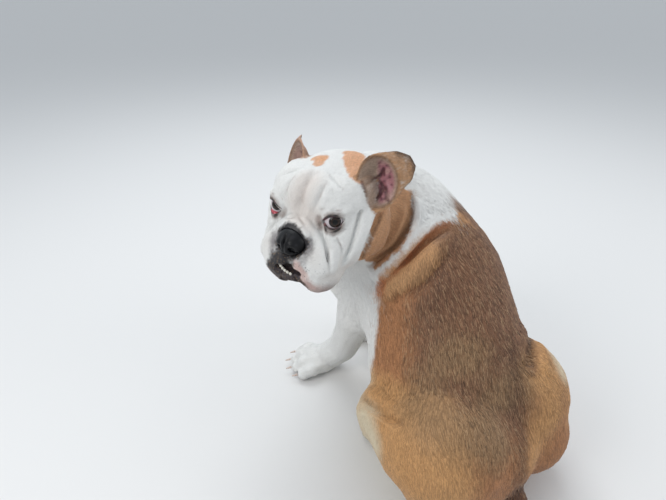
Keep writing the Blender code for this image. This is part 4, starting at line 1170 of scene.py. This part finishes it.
@dataclass
class Eye:
    """One eye: the ball with its bulging cornea, the rim of the lids and the pink inner corner.

    Attributes:
        anatomy: Places on the dog.
        skin: The skin whose lids it fits.
        side: Which eye.
        radius: Radius of the ball in metres.
        iris: Angle of the iris's edge from the way it looks, in radians.
        rim_radius: Half thickness of the lids' dark rim.
    """

    anatomy: Anatomy
    skin: Skin
    side: Side
    radius: float = 0.0111
    iris: float = 0.67
    rim_radius: float = 0.0013

    def name(self, part: str) -> str:
        """The name of one of this eye's pieces."""
        return f"{part}_{self.side.name.lower()}"

    def ball(self) -> bpy.types.Object:
        """Builds the ball, with the angle from the way it looks stored on it."""
        frame = self.anatomy.gaze(self.side)
        centre = frame.translation
        look = (0.30, 0.95, 0.09) if self.side is Side.LEFT else (0.50, 0.69, 0.53)
        way = frame.to_3x3() @ Vector(look)
        bm = bmesh.new()
        bmesh.ops.create_uvsphere(bm, u_segments=72, v_segments=64, radius=self.radius)
        angles = [vertex.co.angle(Vector((0, 0, 1))) for vertex in bm.verts]
        for vertex, angle in zip(bm.verts, angles):
            vertex.co *= 1 + 0.07 * max(0.0, 1 - (angle / self.iris) ** 2) ** 0.8
        turn = way.to_track_quat("Z", "Y").to_matrix().to_4x4()
        bm.transform(Matrix.Translation(centre) @ turn)
        item = from_bmesh(bm, self.name("eyeball"))
        layer = item.data.attributes.new("polar", "FLOAT", "POINT")
        layer.data.foreach_set("value", np.array(angles, np.float32))
        item.data.shade_smooth()
        item.data.materials.append(EyeFinish(self.name("eye_finish")).material())
        return item

    def rim(self) -> bpy.types.Object:
        """Builds the dark rim of the lids: a ring drawn out to the almond of the opening."""
        frame = self.anatomy.gaze(self.side)
        reach = 0.0118
        bm = bmesh.new()
        ring = bmesh.ops.create_circle(bm, segments=10, radius=1)
        bmesh.ops.translate(bm, verts=ring["verts"], vec=(5, 0, 0))
        bmesh.ops.rotate(bm, verts=ring["verts"], matrix=Matrix.Rotation(math.pi / 2, 3, "X"))
        bmesh.ops.spin(bm, geom=bm.edges[:], axis=(0, 0, 1), angle=2 * math.pi, steps=96, use_merge=True)
        bmesh.ops.remove_doubles(bm, verts=bm.verts, dist=1e-4)
        for vertex in bm.verts:
            turn = math.atan2(vertex.co.y, vertex.co.x)
            outward = math.hypot(vertex.co.x, vertex.co.y) - 5
            across, up = self.skin.lid_point(turn)
            grow = 1 + self.rim_radius * 1.3 * outward / math.hypot(across, up)
            out = math.sqrt(max(reach ** 2 - across ** 2 - up ** 2, 1e-6))
            vertex.co = frame @ Vector((across * grow, out + self.rim_radius * 0.8 * vertex.co.z, up * grow))
        item = from_bmesh(bm, self.name("lid_rim"))
        item.data.shade_smooth()
        finish = FleshFinish(self.name("lid_rim_finish"), tuple(Tone.PIGMENT.linear),
                             tuple(Tone.EAR_DEEP.linear))
        item.data.materials.append(finish.material())
        return item

    def haw(self) -> bpy.types.Object:
        """Builds the pink flesh at the inner corner, larger and redder on the right eye."""
        frame = self.anatomy.gaze(self.side)
        red = self.side is Side.RIGHT
        place = Vector((0.0030, 0.0078, -0.0062)) if red else Vector((-0.0094, 0.0064, -0.0016))
        sizes = (0.0078, 0.0044, 0.0030) if red else (0.0022, 0.0020, 0.0020)
        bm = bmesh.new()
        bmesh.ops.create_uvsphere(bm, u_segments=32, v_segments=20, radius=1)
        bmesh.ops.scale(bm, verts=bm.verts, vec=sizes)
        bmesh.ops.translate(bm, verts=bm.verts, vec=place)
        bm.transform(frame)
        item = from_bmesh(bm, self.name("haw"))
        item.data.shade_smooth()
        colours = ((0.52, 0.07, 0.09), (0.36, 0.05, 0.07)) if red else ((0.25, 0.10, 0.10), (0.12, 0.05, 0.05))
        item.data.materials.append(FleshFinish(self.name("haw_finish"), *colours).material())
        return item

    def build(self) -> None:
        """Builds this eye's pieces and sets them in the head."""
        node = self.name("eye")
        ball = self.ball()
        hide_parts(node)
        for piece in (ball, self.rim(), self.haw()):
            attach(piece, "root")


@dataclass
class Nose:
    """The nose leather with its wings, comma nostrils and middle groove, in millimetres of the head.

    Attributes:
        anatomy: Places on the dog.
        centre: Its middle.
        radii: Its half width, half depth and half height.
        voxel: Fineness of its surface in metres.
    """

    anatomy: Anatomy
    centre: tuple[float, float, float] = (0, 73, -23)
    radii: tuple[float, float, float] = (18.6, 17.2, 16.0)
    voxel: float = 0.0005

    def ball(self, centre: Path, radii: Path, turn: float = 0.0) -> bpy.types.Object:
        """A ball drawn out to three radii, turned about the way ahead, in place on the head."""
        bm = bmesh.new()
        bmesh.ops.create_uvsphere(bm, u_segments=64, v_segments=44, radius=1)
        bmesh.ops.scale(bm, verts=bm.verts, vec=radii)
        bmesh.ops.rotate(bm, verts=bm.verts, matrix=Matrix.Rotation(turn, 3, "Y"))
        for vertex in bm.verts:
            vertex.co = Vector(self.anatomy.head([Vector(centre) + vertex.co])[0])
        return from_bmesh(bm, "ball")

    def groove(self, item: bpy.types.Object) -> None:
        """Presses the middle groove and lifts the wings round the nostrils."""
        places, normals = array_of(item.data, "co"), array_of(item.data, "normal")
        Fold(((0, 80, -8), (0, 91, -20), (0, 91, -30), (0, 86, -38)), 0.0013, 0.0026, 0.0008).press(
            places, normals, smooth_path(self.anatomy.head(((0, 82, -9), (0, 91, -20), (0, 91, -30),
                                                            (0, 86, -38)))))
        for side in Side:
            ring = [(side.value * (8.8 + 6.6 * math.cos(t)), 87.0 - 1.5 * math.cos(t), -25 + 6.0 * math.sin(t))
                    for t in np.linspace(-2.6, 1.6, 9)]
            distance, _ = path_distance(places, smooth_path(self.anatomy.head(ring)))
            places += normals * (0.0016 * np.exp(-(distance / 0.0026) ** 2))[:, None]
        put_places(item.data, places)

    def build(self) -> None:
        """Builds the nose."""
        item = self.ball(self.centre, self.radii)
        item.name = "nose_leather"
        for side in Side:
            sign = side.value
            cut(item, self.ball((sign * 8.4, 90.0, -25.4), (4.3, 7.6, 4.6), sign * 0.5))
            cut(item, self.ball((sign * 13.2, 86.6, -29.4), (5.6, 5.6, 1.9), sign * 0.35))
        remesh = item.modifiers.new("fuse", "REMESH")
        remesh.mode = "VOXEL"
        remesh.voxel_size = self.voxel
        soften = item.modifiers.new("soften", "SMOOTH")
        soften.iterations = 4
        applied(item)
        self.groove(item)
        item.data.shade_smooth()
        item.data.materials.append(LeatherFinish().material())
        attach(item, "root")
        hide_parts("nose")


@dataclass
class Teeth:
    """The small front teeth of the lower jaw, over the solids' bumps."""

    anatomy: Anatomy
    spots: tuple[float, ...] = (-16.4, -12.4, -8.4, -4.4, -0.4, 3.6)

    def build(self) -> None:
        """Builds the row of teeth as one piece."""
        bm = bmesh.new()
        for place in self.spots:
            radii = Vector((2.1, 1.5, 2.0))
            centre = Vector((place, 88.2 - 0.02 * place * place, -56.4 - 0.25 * place))
            tooth = bmesh.ops.create_uvsphere(bm, u_segments=20, v_segments=14, radius=1)
            for vertex in tooth["verts"]:
                narrow = 1 - 0.25 * max(vertex.co.z, 0)
                local = Vector((vertex.co.x * narrow, vertex.co.y * narrow, vertex.co.z))
                vertex.co = Vector(self.anatomy.head([centre + local * radii])[0])
        item = from_bmesh(bm, "front_teeth")
        item.data.shade_smooth()
        item.data.materials.append(HornFinish("enamel", (0.62, 0.57, 0.48), (0.72, 0.70, 0.64), 0.25).material())
        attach(item, "root")


# Coat


HEAD_GUIDES = (
    ((0, 88, -2), (0, -0.5, 1)), ((0, 60, 8), (0, -0.6, 1)), ((0, 35, 36), (0, -1, 0.5)),
    ((0, 0, 50), (0, -1, 0.1)), ((0, -40, 45), (0, -1, -0.3)), ((28, 80, -25), (0.8, -0.9, 0.1)),
    ((24, 84, -50), (0.6, -0.7, -0.7)), ((28, 72, -75), (0.4, -0.7, -0.8)), ((45, 60, -40), (0.2, -1, -0.5)),
    ((40, 50, 22), (0.5, -1, 0.7)), ((24, 56, 4), (-0.3, -0.4, 1)), ((54, 42, -4), (0.5, -1, -0.2)),
    ((62, 20, -20), (0.2, -1, -0.6)), ((60, 0, -50), (0, -0.8, -0.8)), ((50, 20, 35), (0.5, -1, 0.4)),
    ((70, -5, 50), (0.9, -0.6, 0.5)), ((84, -20, 40), (0.9, -0.8, 0.1)), ((60, -20, 0), (0, -1, -0.3)),
    ((0, 60, -85), (0, -1, -0.2)), ((0, 84, -70), (0, -0.7, -0.7)), ((20, 0, -70), (0, -1, -0.2)),
)
BODY_GUIDES = (
    ((0.020, -0.060, 0.350), (-0.55, 0.55, -0.60)), ((0.050, -0.045, 0.325), (-0.30, 0.45, -0.80)),
    ((-0.045, -0.075, 0.350), (-0.45, 0.80, -0.30)), ((-0.075, -0.020, 0.305), (0.15, 0.80, -0.60)),
    ((0.045, -0.050, 0.262), (0.10, 0.55, -0.80)), ((0.000, -0.010, 0.295), (0.20, 0.75, -0.60)),
    ((0.040, 0.005, 0.245), (0.25, 0.60, -0.75)), ((0.065, 0.000, 0.190), (0.25, 0.45, -0.85)),
    ((0.085, 0.030, 0.155), (0.30, 0.60, -0.75)), ((-0.055, 0.060, 0.240), (0.10, 0.65, -0.75)),
    ((0.010, 0.060, 0.215), (0.22, 0.60, -0.75)), ((-0.028, 0.120, 0.165), (0.20, 0.55, -0.80)),
    ((0.040, 0.120, 0.150), (0.25, 0.55, -0.80)), ((0.005, 0.165, 0.100), (0.0, 0.25, -1.0)),
    ((0.090, 0.100, 0.130), (0.25, 0.60, -0.75)), ((0.070, 0.150, 0.070), (0.10, 0.45, -0.90)),
    ((0.110, 0.040, 0.100), (0.10, 0.60, -0.75)), ((0.112, 0.010, 0.100), (0.40, 0.00, -0.90)),
    ((0.110, 0.050, 0.040), (0.10, 0.60, -0.60)), ((-0.110, 0.020, 0.230), (-0.40, 0.60, -0.70)),
    ((-0.130, 0.080, 0.150), (-0.30, 0.55, -0.80)), ((-0.100, 0.110, 0.170), (-0.35, 0.60, -0.60)),
    ((-0.110, 0.140, 0.090), (-0.15, 0.50, -0.90)), ((-0.140, -0.030, 0.180), (-0.20, 0.50, -0.90)),
    ((0.000, 0.170, 0.050), (0.0, 0.70, -0.70)), ((0.030, -0.110, 0.220), (0.10, 0.20, -1.0)),
    ((0.040, -0.120, 0.120), (0.0, 0.10, -1.0)), ((0.030, -0.165, 0.055), (0.50, -0.60, -0.90)),
    ((0.060, -0.190, 0.020), (0.88, -0.47, -0.25)), ((-0.090, -0.170, 0.150), (0.0, 0.0, -1.0)),
    ((-0.080, -0.200, 0.030), (0.50, -0.87, -0.3)), ((-0.040, -0.200, 0.240), (0.0, -0.10, -1.0)),
    ((0.070, 0.000, 0.015), (0.0, -1.0, -0.2)), ((-0.070, 0.000, 0.015), (0.0, -1.0, -0.2)),
    ((-0.020, -0.060, 0.100), (0.0, 0.60, -0.80)), ((-0.060, -0.120, 0.330), (-0.50, 0.30, -0.80)),
)


class Patch(Enum):
    """The coat's pieces, each a stretch of the skin."""

    FACE = "coat_face"
    CROWN_LEFT = "coat_crown_left"
    CROWN_RIGHT = "coat_crown_right"
    NECK = "coat_neck"
    BACK = "coat_back"
    LOIN = "coat_loin"
    LEFT = "coat_left_flank"
    RIGHT = "coat_right_flank"
    CHEST = "coat_chest"
    FORELEG_LEFT = "coat_foreleg_left"
    FORELEG_RIGHT = "coat_foreleg_right"
    HAUNCH_LEFT = "coat_haunch_left"
    HAUNCH_RIGHT = "coat_haunch_right"


@dataclass
class Coat:
    """The short coat: closed locks lying over the skin along its lie.

    Each lock has a root under the skin, a low ridge and a tip, six faces in all. On the head they
    are a few millimetres long and on the back about twelve.

    Attributes:
        anatomy: Places on the dog.
        skin: The skin that carries it.
        count: How many locks are drawn.
        patch_size: Width of a lock's place on the unwrap.
    """

    anatomy: Anatomy
    skin: Skin
    count: int = 235000
    patch_size: float = 0.003

    def sizes(self, paint_near: dict[str, np.ndarray], head: np.ndarray, along: np.ndarray) -> np.ndarray:
        """The length of the hair in metres at each place."""
        face = np.linalg.norm(head - (0, 15, -15), axis=1)
        length = 0.0046 + 0.0030 * ramp(face, 85, 115)
        length += 0.0042 * (1 - ramp(paint_near["trunk"], 0.002, 0.030)) * ramp(face, 95, 125)
        length -= 0.0014 * ramp(head[:, 1], 20, 60) * (face < 115)
        for fold in BODY_FOLDS[:2]:
            distance, _ = path_distance(self.skin.paint.places, smooth_path(self.anatomy.body(fold.points)))
            length *= 0.34 + 0.66 * ramp(distance, 0.007, 0.020)
        for name, short in (("foreleg", 0.0058), ("hindpaw", 0.0045), ("ear_left", 0.0036),
                            ("ear_right", 0.0036)):
            near = 1 - ramp(paint_near[name], 0.001, 0.020)
            length += (np.minimum(short, length) - length) * near
        return length

    def draw(self) -> None:
        """Draws the locks' roots over the skin, evenly for the room that each needs."""
        mesh = self.skin.item.data
        mesh.calc_loop_triangles()
        corners = np.empty(3 * len(mesh.loop_triangles), np.int32)
        mesh.loop_triangles.foreach_get("vertices", corners)
        corners = corners.reshape(-1, 3)
        places, normals = self.skin.paint.places, self.skin.paint.normals
        head, along = self.skin.paint.head, self.skin.paint.along
        length = self.sizes(self.skin.near, head, along)
        room = (length + 0.0012) * (0.10 * length + 0.0007)
        room *= 1 + 1.1 * ramp(self.skin.paint.colour.mean(1), 0.35, 0.65)
        dense = (1 - 0.85 * self.skin.paint.bare) * ramp(places[:, 2], 0.001, 0.003) / room
        a, b, c = (places[corners[:, index]] for index in range(3))
        area = np.linalg.norm(np.cross(b - a, c - a), axis=1) / 2
        total = np.cumsum(area * dense[corners].mean(1))
        chance = np.random.default_rng(SEED)
        spots = (np.arange(self.count) + chance.random(self.count)) / self.count * total[-1]
        chosen = np.searchsorted(total, spots)
        u, v = chance.random(self.count), chance.random(self.count)
        over = u + v > 1
        u[over], v[over] = 1 - u[over], 1 - v[over]
        share = np.column_stack((1 - u - v, u, v))[:, :, None]
        self.root = (places[corners[chosen]] * share).sum(1)
        self.normal = (normals[corners[chosen]] * share).sum(1)
        self.normal /= np.linalg.norm(self.normal, axis=1)[:, None]
        self.length = (length[corners[chosen], None] * share).sum(1)[:, 0]
        self.bare = (self.skin.paint.bare[corners[chosen], None] * share).sum(1)[:, 0]
        self.near = {name: (values[corners[chosen], None] * share).sum(1)[:, 0]
                     for name, values in self.skin.near.items()}
        self.draws = chance.random((self.count, 6))

    def flow(self) -> np.ndarray:
        """The lie of the hair at each root, from the nearest guides.

        Returns:
            A unit vector along the skin for each root.
        """
        starts, ways = [], []
        for point, way in HEAD_GUIDES:
            for side in Side:
                starts.append(self.anatomy.head([point], side)[0])
                ways.append(self.anatomy.axes @ (np.array(way) * (side.value, 1, 1)))
        for point, way in BODY_GUIDES:
            starts.append(self.anatomy.body([point])[0])
            ways.append(np.array(way, float))
        total = np.zeros((self.count, 3))
        for start, way in zip(starts, ways):
            gap = np.linalg.norm(self.root - start, axis=1)
            total += (way / np.linalg.norm(way))[None] / (gap[:, None] + 0.012) ** 4
        swirl = waves(self.root, 0.05, 31)[:, None] * 0.16 * np.cross(self.normal, total)
        total += swirl
        total -= self.normal * (total * self.normal).sum(1)[:, None]
        total /= np.linalg.norm(total, axis=1)[:, None]
        spread = (self.draws[:, :1] - 0.5) * 0.42
        total += spread * np.cross(self.normal, total)
        return total / np.linalg.norm(total, axis=1)[:, None]

    def tones(self, way: np.ndarray) -> np.ndarray:
        """Each lock's colour: the paint under its middle, painted shade included, lighter or darker by a draw.

        Args:
            way: The lie of every root's hair.

        Returns:
            A colour for each root.
        """
        middle = self.root + way * 0.5 * self.length[:, None]
        colour = Paint(self.anatomy, middle, self.normal, self.near).all().colour
        level = colour.mean(1)
        swing = 0.05 + 0.27 * (1 - ramp(level, 0.25, 0.6))
        colour = colour * (1 + 2 * swing * (self.draws[:, 1] - 0.5))[:, None]
        guard = (self.draws[:, 2] < 0.14) & (level < 0.20)
        colour[guard] *= 0.62
        pale = np.where(level < 0.20, 0.42, 0.0) * ramp(self.draws[:, 2], 0.72, 0.95)
        colour += (Tone.STRAW.linear - colour) * pale[:, None]
        return np.clip(colour, 0, 1)

    def sort(self) -> np.ndarray:
        """Which of the coat's pieces each root belongs to.

        Returns:
            The index of a Patch for each root.
        """
        head = self.anatomy.to_head(self.root)
        along, turn = self.anatomy.unroll(self.anatomy.to_body(self.root))
        piece = np.full(self.count, list(Patch).index(Patch.BACK))
        on_head = np.linalg.norm(head - (0, 15, -15), axis=1) < 96
        haunch, leg = self.near["thigh"] < 0.004, self.near["foreleg"] < 0.004
        left = self.anatomy.to_body(self.root)[:, 0] > -0.03
        for patch, mask in ((Patch.LOIN, along < -0.02), (Patch.LEFT, turn > 0.55),
                            (Patch.RIGHT, turn < -0.55), (Patch.HAUNCH_LEFT, haunch & (turn > 0)),
                            (Patch.HAUNCH_RIGHT, haunch & (turn <= 0)), (Patch.CHEST, along > 0.10),
                            (Patch.FORELEG_LEFT, leg & left), (Patch.FORELEG_RIGHT, leg & ~left),
                            (Patch.NECK, self.near["neck"] < 0.004),
                            (Patch.FACE, on_head & (head[:, 1] >= 26)),
                            (Patch.CROWN_LEFT, on_head & (head[:, 1] < 26) & (head[:, 0] > 0)),
                            (Patch.CROWN_RIGHT, on_head & (head[:, 1] < 26) & (head[:, 0] <= 0))):
            piece[mask] = list(Patch).index(patch)
        return piece

    def unwrap(self, roots: np.ndarray, name: str) -> np.ndarray:
        """Places of roots on an unwrap of the skin round them.

        Args:
            roots: The roots of one piece.
            name: The piece's name; not used.

        Returns:
            A pair of coordinates for each root.
        """
        proxy = self.proxy.copy()
        proxy.data = self.proxy.data.copy()
        bpy.context.scene.collection.objects.link(proxy)
        tree = BVHTree.FromPolygons([v.co for v in proxy.data.vertices],
                                    [f.vertices for f in proxy.data.polygons])
        used = {tree.find_nearest(root)[2] for root in roots[::3]}
        bm = bmesh.new()
        bm.from_mesh(proxy.data)
        bm.faces.ensure_lookup_table()
        spare = [face for face in bm.faces if face.index not in used]
        bmesh.ops.delete(bm, geom=spare, context="FACES")
        bmesh.ops.triangulate(bm, faces=bm.faces[:])
        bm.to_mesh(proxy.data)
        bm.free()
        for item in bpy.context.selected_objects:
            item.select_set(False)
        bpy.context.view_layer.objects.active = proxy
        proxy.select_set(True)
        bpy.ops.object.mode_set(mode="EDIT")
        bpy.ops.mesh.select_all(action="SELECT")
        bpy.ops.uv.smart_project(angle_limit=math.radians(72), island_margin=0.004)
        bpy.ops.object.mode_set(mode="OBJECT")
        mesh = proxy.data
        flat = np.empty(2 * len(mesh.loops), np.float32)
        mesh.uv_layers.active.data.foreach_get("uv", flat)
        flat = flat.reshape(-1, 3, 2)
        faces = np.empty(len(mesh.loops), np.int32)
        mesh.loops.foreach_get("vertex_index", faces)
        corners = array_of(mesh, "co")[faces.reshape(-1, 3)]
        tree = BVHTree.FromPolygons([v.co for v in mesh.vertices], [f.vertices for f in mesh.polygons])
        hits = [tree.find_nearest(root) for root in roots]
        index = np.array([hit[2] for hit in hits])
        spot = np.array([hit[0] for hit in hits])
        a, b, c = (corners[index, corner] for corner in range(3))
        whole = np.cross(b - a, c - a)
        scale = (whole * whole).sum(1) + 1e-20
        second = (np.cross(spot - a, c - a) * whole).sum(1) / scale
        third = (np.cross(b - a, spot - a) * whole).sum(1) / scale
        share = np.clip(np.column_stack((1 - second - third, second, third)), 0, 1)[:, :, None]
        bpy.data.objects.remove(proxy)
        half = self.patch_size / 2
        return np.clip((flat[index] * share).sum(1), half, 1 - half)

    def settle(self, places: np.ndarray) -> tuple[np.ndarray, np.ndarray]:
        """Brings places down to the skin.

        Args:
            places: Places near the skin.

        Returns:
            The nearest place on the skin to each, and the skin's direction there.
        """
        hits = [self.tree.find_nearest(place) for place in places]
        return np.array([hit[0] for hit in hits]), np.array([hit[1] for hit in hits])

    def piece(self, patch: Patch, chosen: np.ndarray, way: np.ndarray, tone: np.ndarray,
              finish: bpy.types.Material) -> bpy.types.Object:
        """Builds the locks of one piece.

        Args:
            patch: Which piece.
            chosen: The indices of its roots.
            way: The lie of every root's hair.
            tone: Every root's colour.
            finish: The coat's material.

        Returns:
            The piece.
        """
        root, normal, way = self.root[chosen], self.normal[chosen], way[chosen]
        length = (self.length * (0.70 + 0.6 * self.draws[:, 3]))[chosen][:, None]
        lift = 0.0002 + (0.020 + 0.070 * self.draws[:, 4] ** 3)[chosen][:, None] * length
        width = length * 0.040 + 0.00020
        aside = np.cross(normal, way)
        middle, upward = self.settle(root + way * 0.40 * length)
        tip, end_upward = self.settle(root + way * length)
        points = np.stack((
            root - normal * 0.0005,
            middle + aside * width - upward * 0.00010,
            middle + upward * (0.00018 + 0.040 * length),
            middle - aside * width - upward * 0.00010,
            tip + end_upward * lift + aside * width * (self.draws[chosen, 5:6] - 0.5)), axis=1)
        points[:, :, 2] = np.maximum(points[:, :, 2], 0.0003)
        count = len(chosen)
        pattern = np.array(((0, 2, 1), (0, 3, 2), (1, 2, 4), (2, 3, 4), (0, 1, 3), (1, 4, 3)))
        faces = (pattern[None] + 5 * np.arange(count)[:, None, None]).reshape(-1, 3)
        mesh = bpy.data.meshes.new(patch.value)
        mesh.vertices.add(5 * count)
        mesh.vertices.foreach_set("co", points.astype(np.float32).ravel())
        mesh.loops.add(faces.size)
        mesh.loops.foreach_set("vertex_index", faces.astype(np.int32).ravel())
        mesh.polygons.add(len(faces))
        mesh.polygons.foreach_set("loop_start", np.arange(0, faces.size, 3, dtype=np.int32))
        mesh.update(calc_edges=True)
        mesh.validate()
        shade = np.array((0.86, 0.97, 1.0, 0.97, 1.08))
        colour = np.clip(tone[chosen][:, None] * shade[None, :, None], 0, 1).reshape(-1, 3)
        rows = np.column_stack((colour, np.ones(len(colour)))).astype(np.float32)
        mesh.color_attributes.new("coat", "FLOAT_COLOR", "POINT").data.foreach_set("color", rows.ravel())
        flat = self.unwrap(root, patch.value)
        corner = np.array(((0, -1), (-1, 0), (0, 0.2), (1, 0), (0, 1))) * self.patch_size / 2
        spread = (flat[:, None] + corner[None]).reshape(-1, 2)[faces.ravel()]
        layer = mesh.uv_layers.new(name="OFBake")
        layer.data.foreach_set("uv", spread.astype(np.float32).ravel())
        mesh.shade_smooth()
        lean = np.stack([normal * 0.80 + push for push in (
            -way * 0.1, aside * 0.35, normal * 0.2, -aside * 0.35, way * 0.15)], axis=1).reshape(-1, 3)
        lean /= np.linalg.norm(lean, axis=1)[:, None]
        mesh.normals_split_custom_set_from_vertices(lean.astype(np.float32))
        mesh.materials.append(finish)
        item = linked(patch.value, mesh)
        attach(item, "root")
        return item

    def build(self) -> None:
        """Builds every piece of the coat."""
        self.draw()
        mesh = self.skin.item.data
        self.tree = BVHTree.FromPolygons([vertex.co for vertex in mesh.vertices],
                                         [face.vertices for face in mesh.polygons])
        way = self.flow()
        tone, group = self.tones(way), self.sort()
        self.proxy = bpy.data.objects.new("proxy", self.skin.item.data.copy())
        bpy.context.scene.collection.objects.link(self.proxy)
        change = self.proxy.modifiers.new("lighten", "DECIMATE")
        change.ratio = 0.05
        applied(self.proxy)
        finish = CoatFinish("coat", 0.62, 0.12, 0.0, 0.0).material()
        for index, patch in enumerate(Patch):
            chosen = np.nonzero(group == index)[0]
            item = self.piece(patch, chosen, way, tone, finish)
            if len(item.data.polygons) > 199000:
                LOG.warning("%s is too heavy", patch.value)
            LOG.info("%s: %d triangles", patch.value, len(item.data.polygons))
        bpy.data.objects.remove(self.proxy)


def dress_claws() -> None:
    """Gives the solids' claws their horn."""
    horn = HornFinish("claw_horn", (0.50, 0.36, 0.31), (0.68, 0.58, 0.50)).material()
    for item in list(bpy.data.objects):
        if "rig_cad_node" in item.keys() and item["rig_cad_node"].startswith("claw"):
            item.data.materials.clear()
            item.data.materials.append(horn)


# Studio


@dataclass
class Studio:
    """The plain floor, soft lights and the camera at the photograph's viewing angle.

    Attributes:
        anatomy: Places on the dog.
        eye: The camera's place in the modelling frame.
        heading: The camera's turn from -Y, towards -X, in degrees.
        dip: How far it looks down, in degrees.
        focal: Focal length as a multiple of the image's width.
    """

    anatomy: Anatomy
    eye: tuple[float, float, float] = (0.393, 0.346, 0.600)
    heading: float = 35.0
    dip: float = 30.0
    focal: float = 500 / 666

    def camera(self) -> None:
        """Creates the camera."""
        data = bpy.data.cameras.new("camera")
        data.sensor_width = 36
        data.lens = 36 * self.focal
        data.clip_start = 0.01
        item = bpy.data.objects.new("camera", data)
        bpy.context.scene.collection.objects.link(item)
        item.location = Vector(self.anatomy.body([self.eye])[0])
        turn, dip = math.radians(self.heading), math.radians(self.dip)
        ahead = Vector((-math.sin(turn) * math.cos(dip), -math.cos(turn) * math.cos(dip), -math.sin(dip)))
        item.rotation_mode = "QUATERNION"
        item.rotation_quaternion = ahead.to_track_quat("-Z", "Y")
        bpy.context.scene.camera = item

    def light(self, place: tuple[float, float, float], power: float, size: float,
              colour: Colour) -> None:
        """Adds one soft light aimed at the dog's middle."""
        data = bpy.data.lights.new("soft_light", "AREA")
        data.energy = power
        data.size = size
        data.color = colour
        item = bpy.data.objects.new("soft_light", data)
        bpy.context.scene.collection.objects.link(item)
        item.location = place
        item.rotation_mode = "QUATERNION"
        item.rotation_quaternion = (Vector(place) - Vector((0, 0, 0.2))).to_track_quat("Z", "Y")

    def floor(self) -> None:
        """Adds the plain pale floor."""
        bm = bmesh.new()
        bmesh.ops.create_grid(bm, x_segments=1, y_segments=1, size=14)
        item = from_bmesh(bm, "floor")
        tree = ShaderTree("floor")
        tree.set(Base_Color=(0.76, 0.75, 0.74), Roughness=0.9)
        item.data.materials.append(tree.material)

    def build(self) -> None:
        """Sets up the whole studio."""
        self.camera()
        self.floor()
        world = bpy.data.worlds.new("studio")
        world.use_nodes = True
        world.node_tree.nodes["Background"].inputs[0].default_value = (0.86, 0.93, 1.0, 1)
        world.node_tree.nodes["Background"].inputs[1].default_value = 0.66
        bpy.context.scene.world = world
        self.light((-0.5, -0.9, 1.8), 15, 1.2, (0.93, 0.97, 1.0))
        self.light((1.3, -0.1, 1.2), 9, 0.9, (1.0, 0.98, 0.95))
        self.light((-1.2, 1.2, 1.0), 7, 1.0, (1.0, 0.97, 0.93))
        bpy.context.scene.view_settings.view_transform = "Standard"


def main() -> None:
    """Builds the studio and every piece of the dog."""
    logging.basicConfig(level=logging.INFO, format="%(name)s: %(message)s")
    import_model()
    anatomy = Anatomy()
    Studio(anatomy).build()
    skin = Skin(anatomy)
    skin.build()
    LOG.info("skin: %d triangles", len(skin.item.data.polygons))
    for side in Side:
        Eye(anatomy, skin, side).build()
    Nose(anatomy).build()
    Teeth(anatomy).build()
    dress_claws()
    Coat(anatomy, skin).build()


if __name__ == "__main__":
    main()
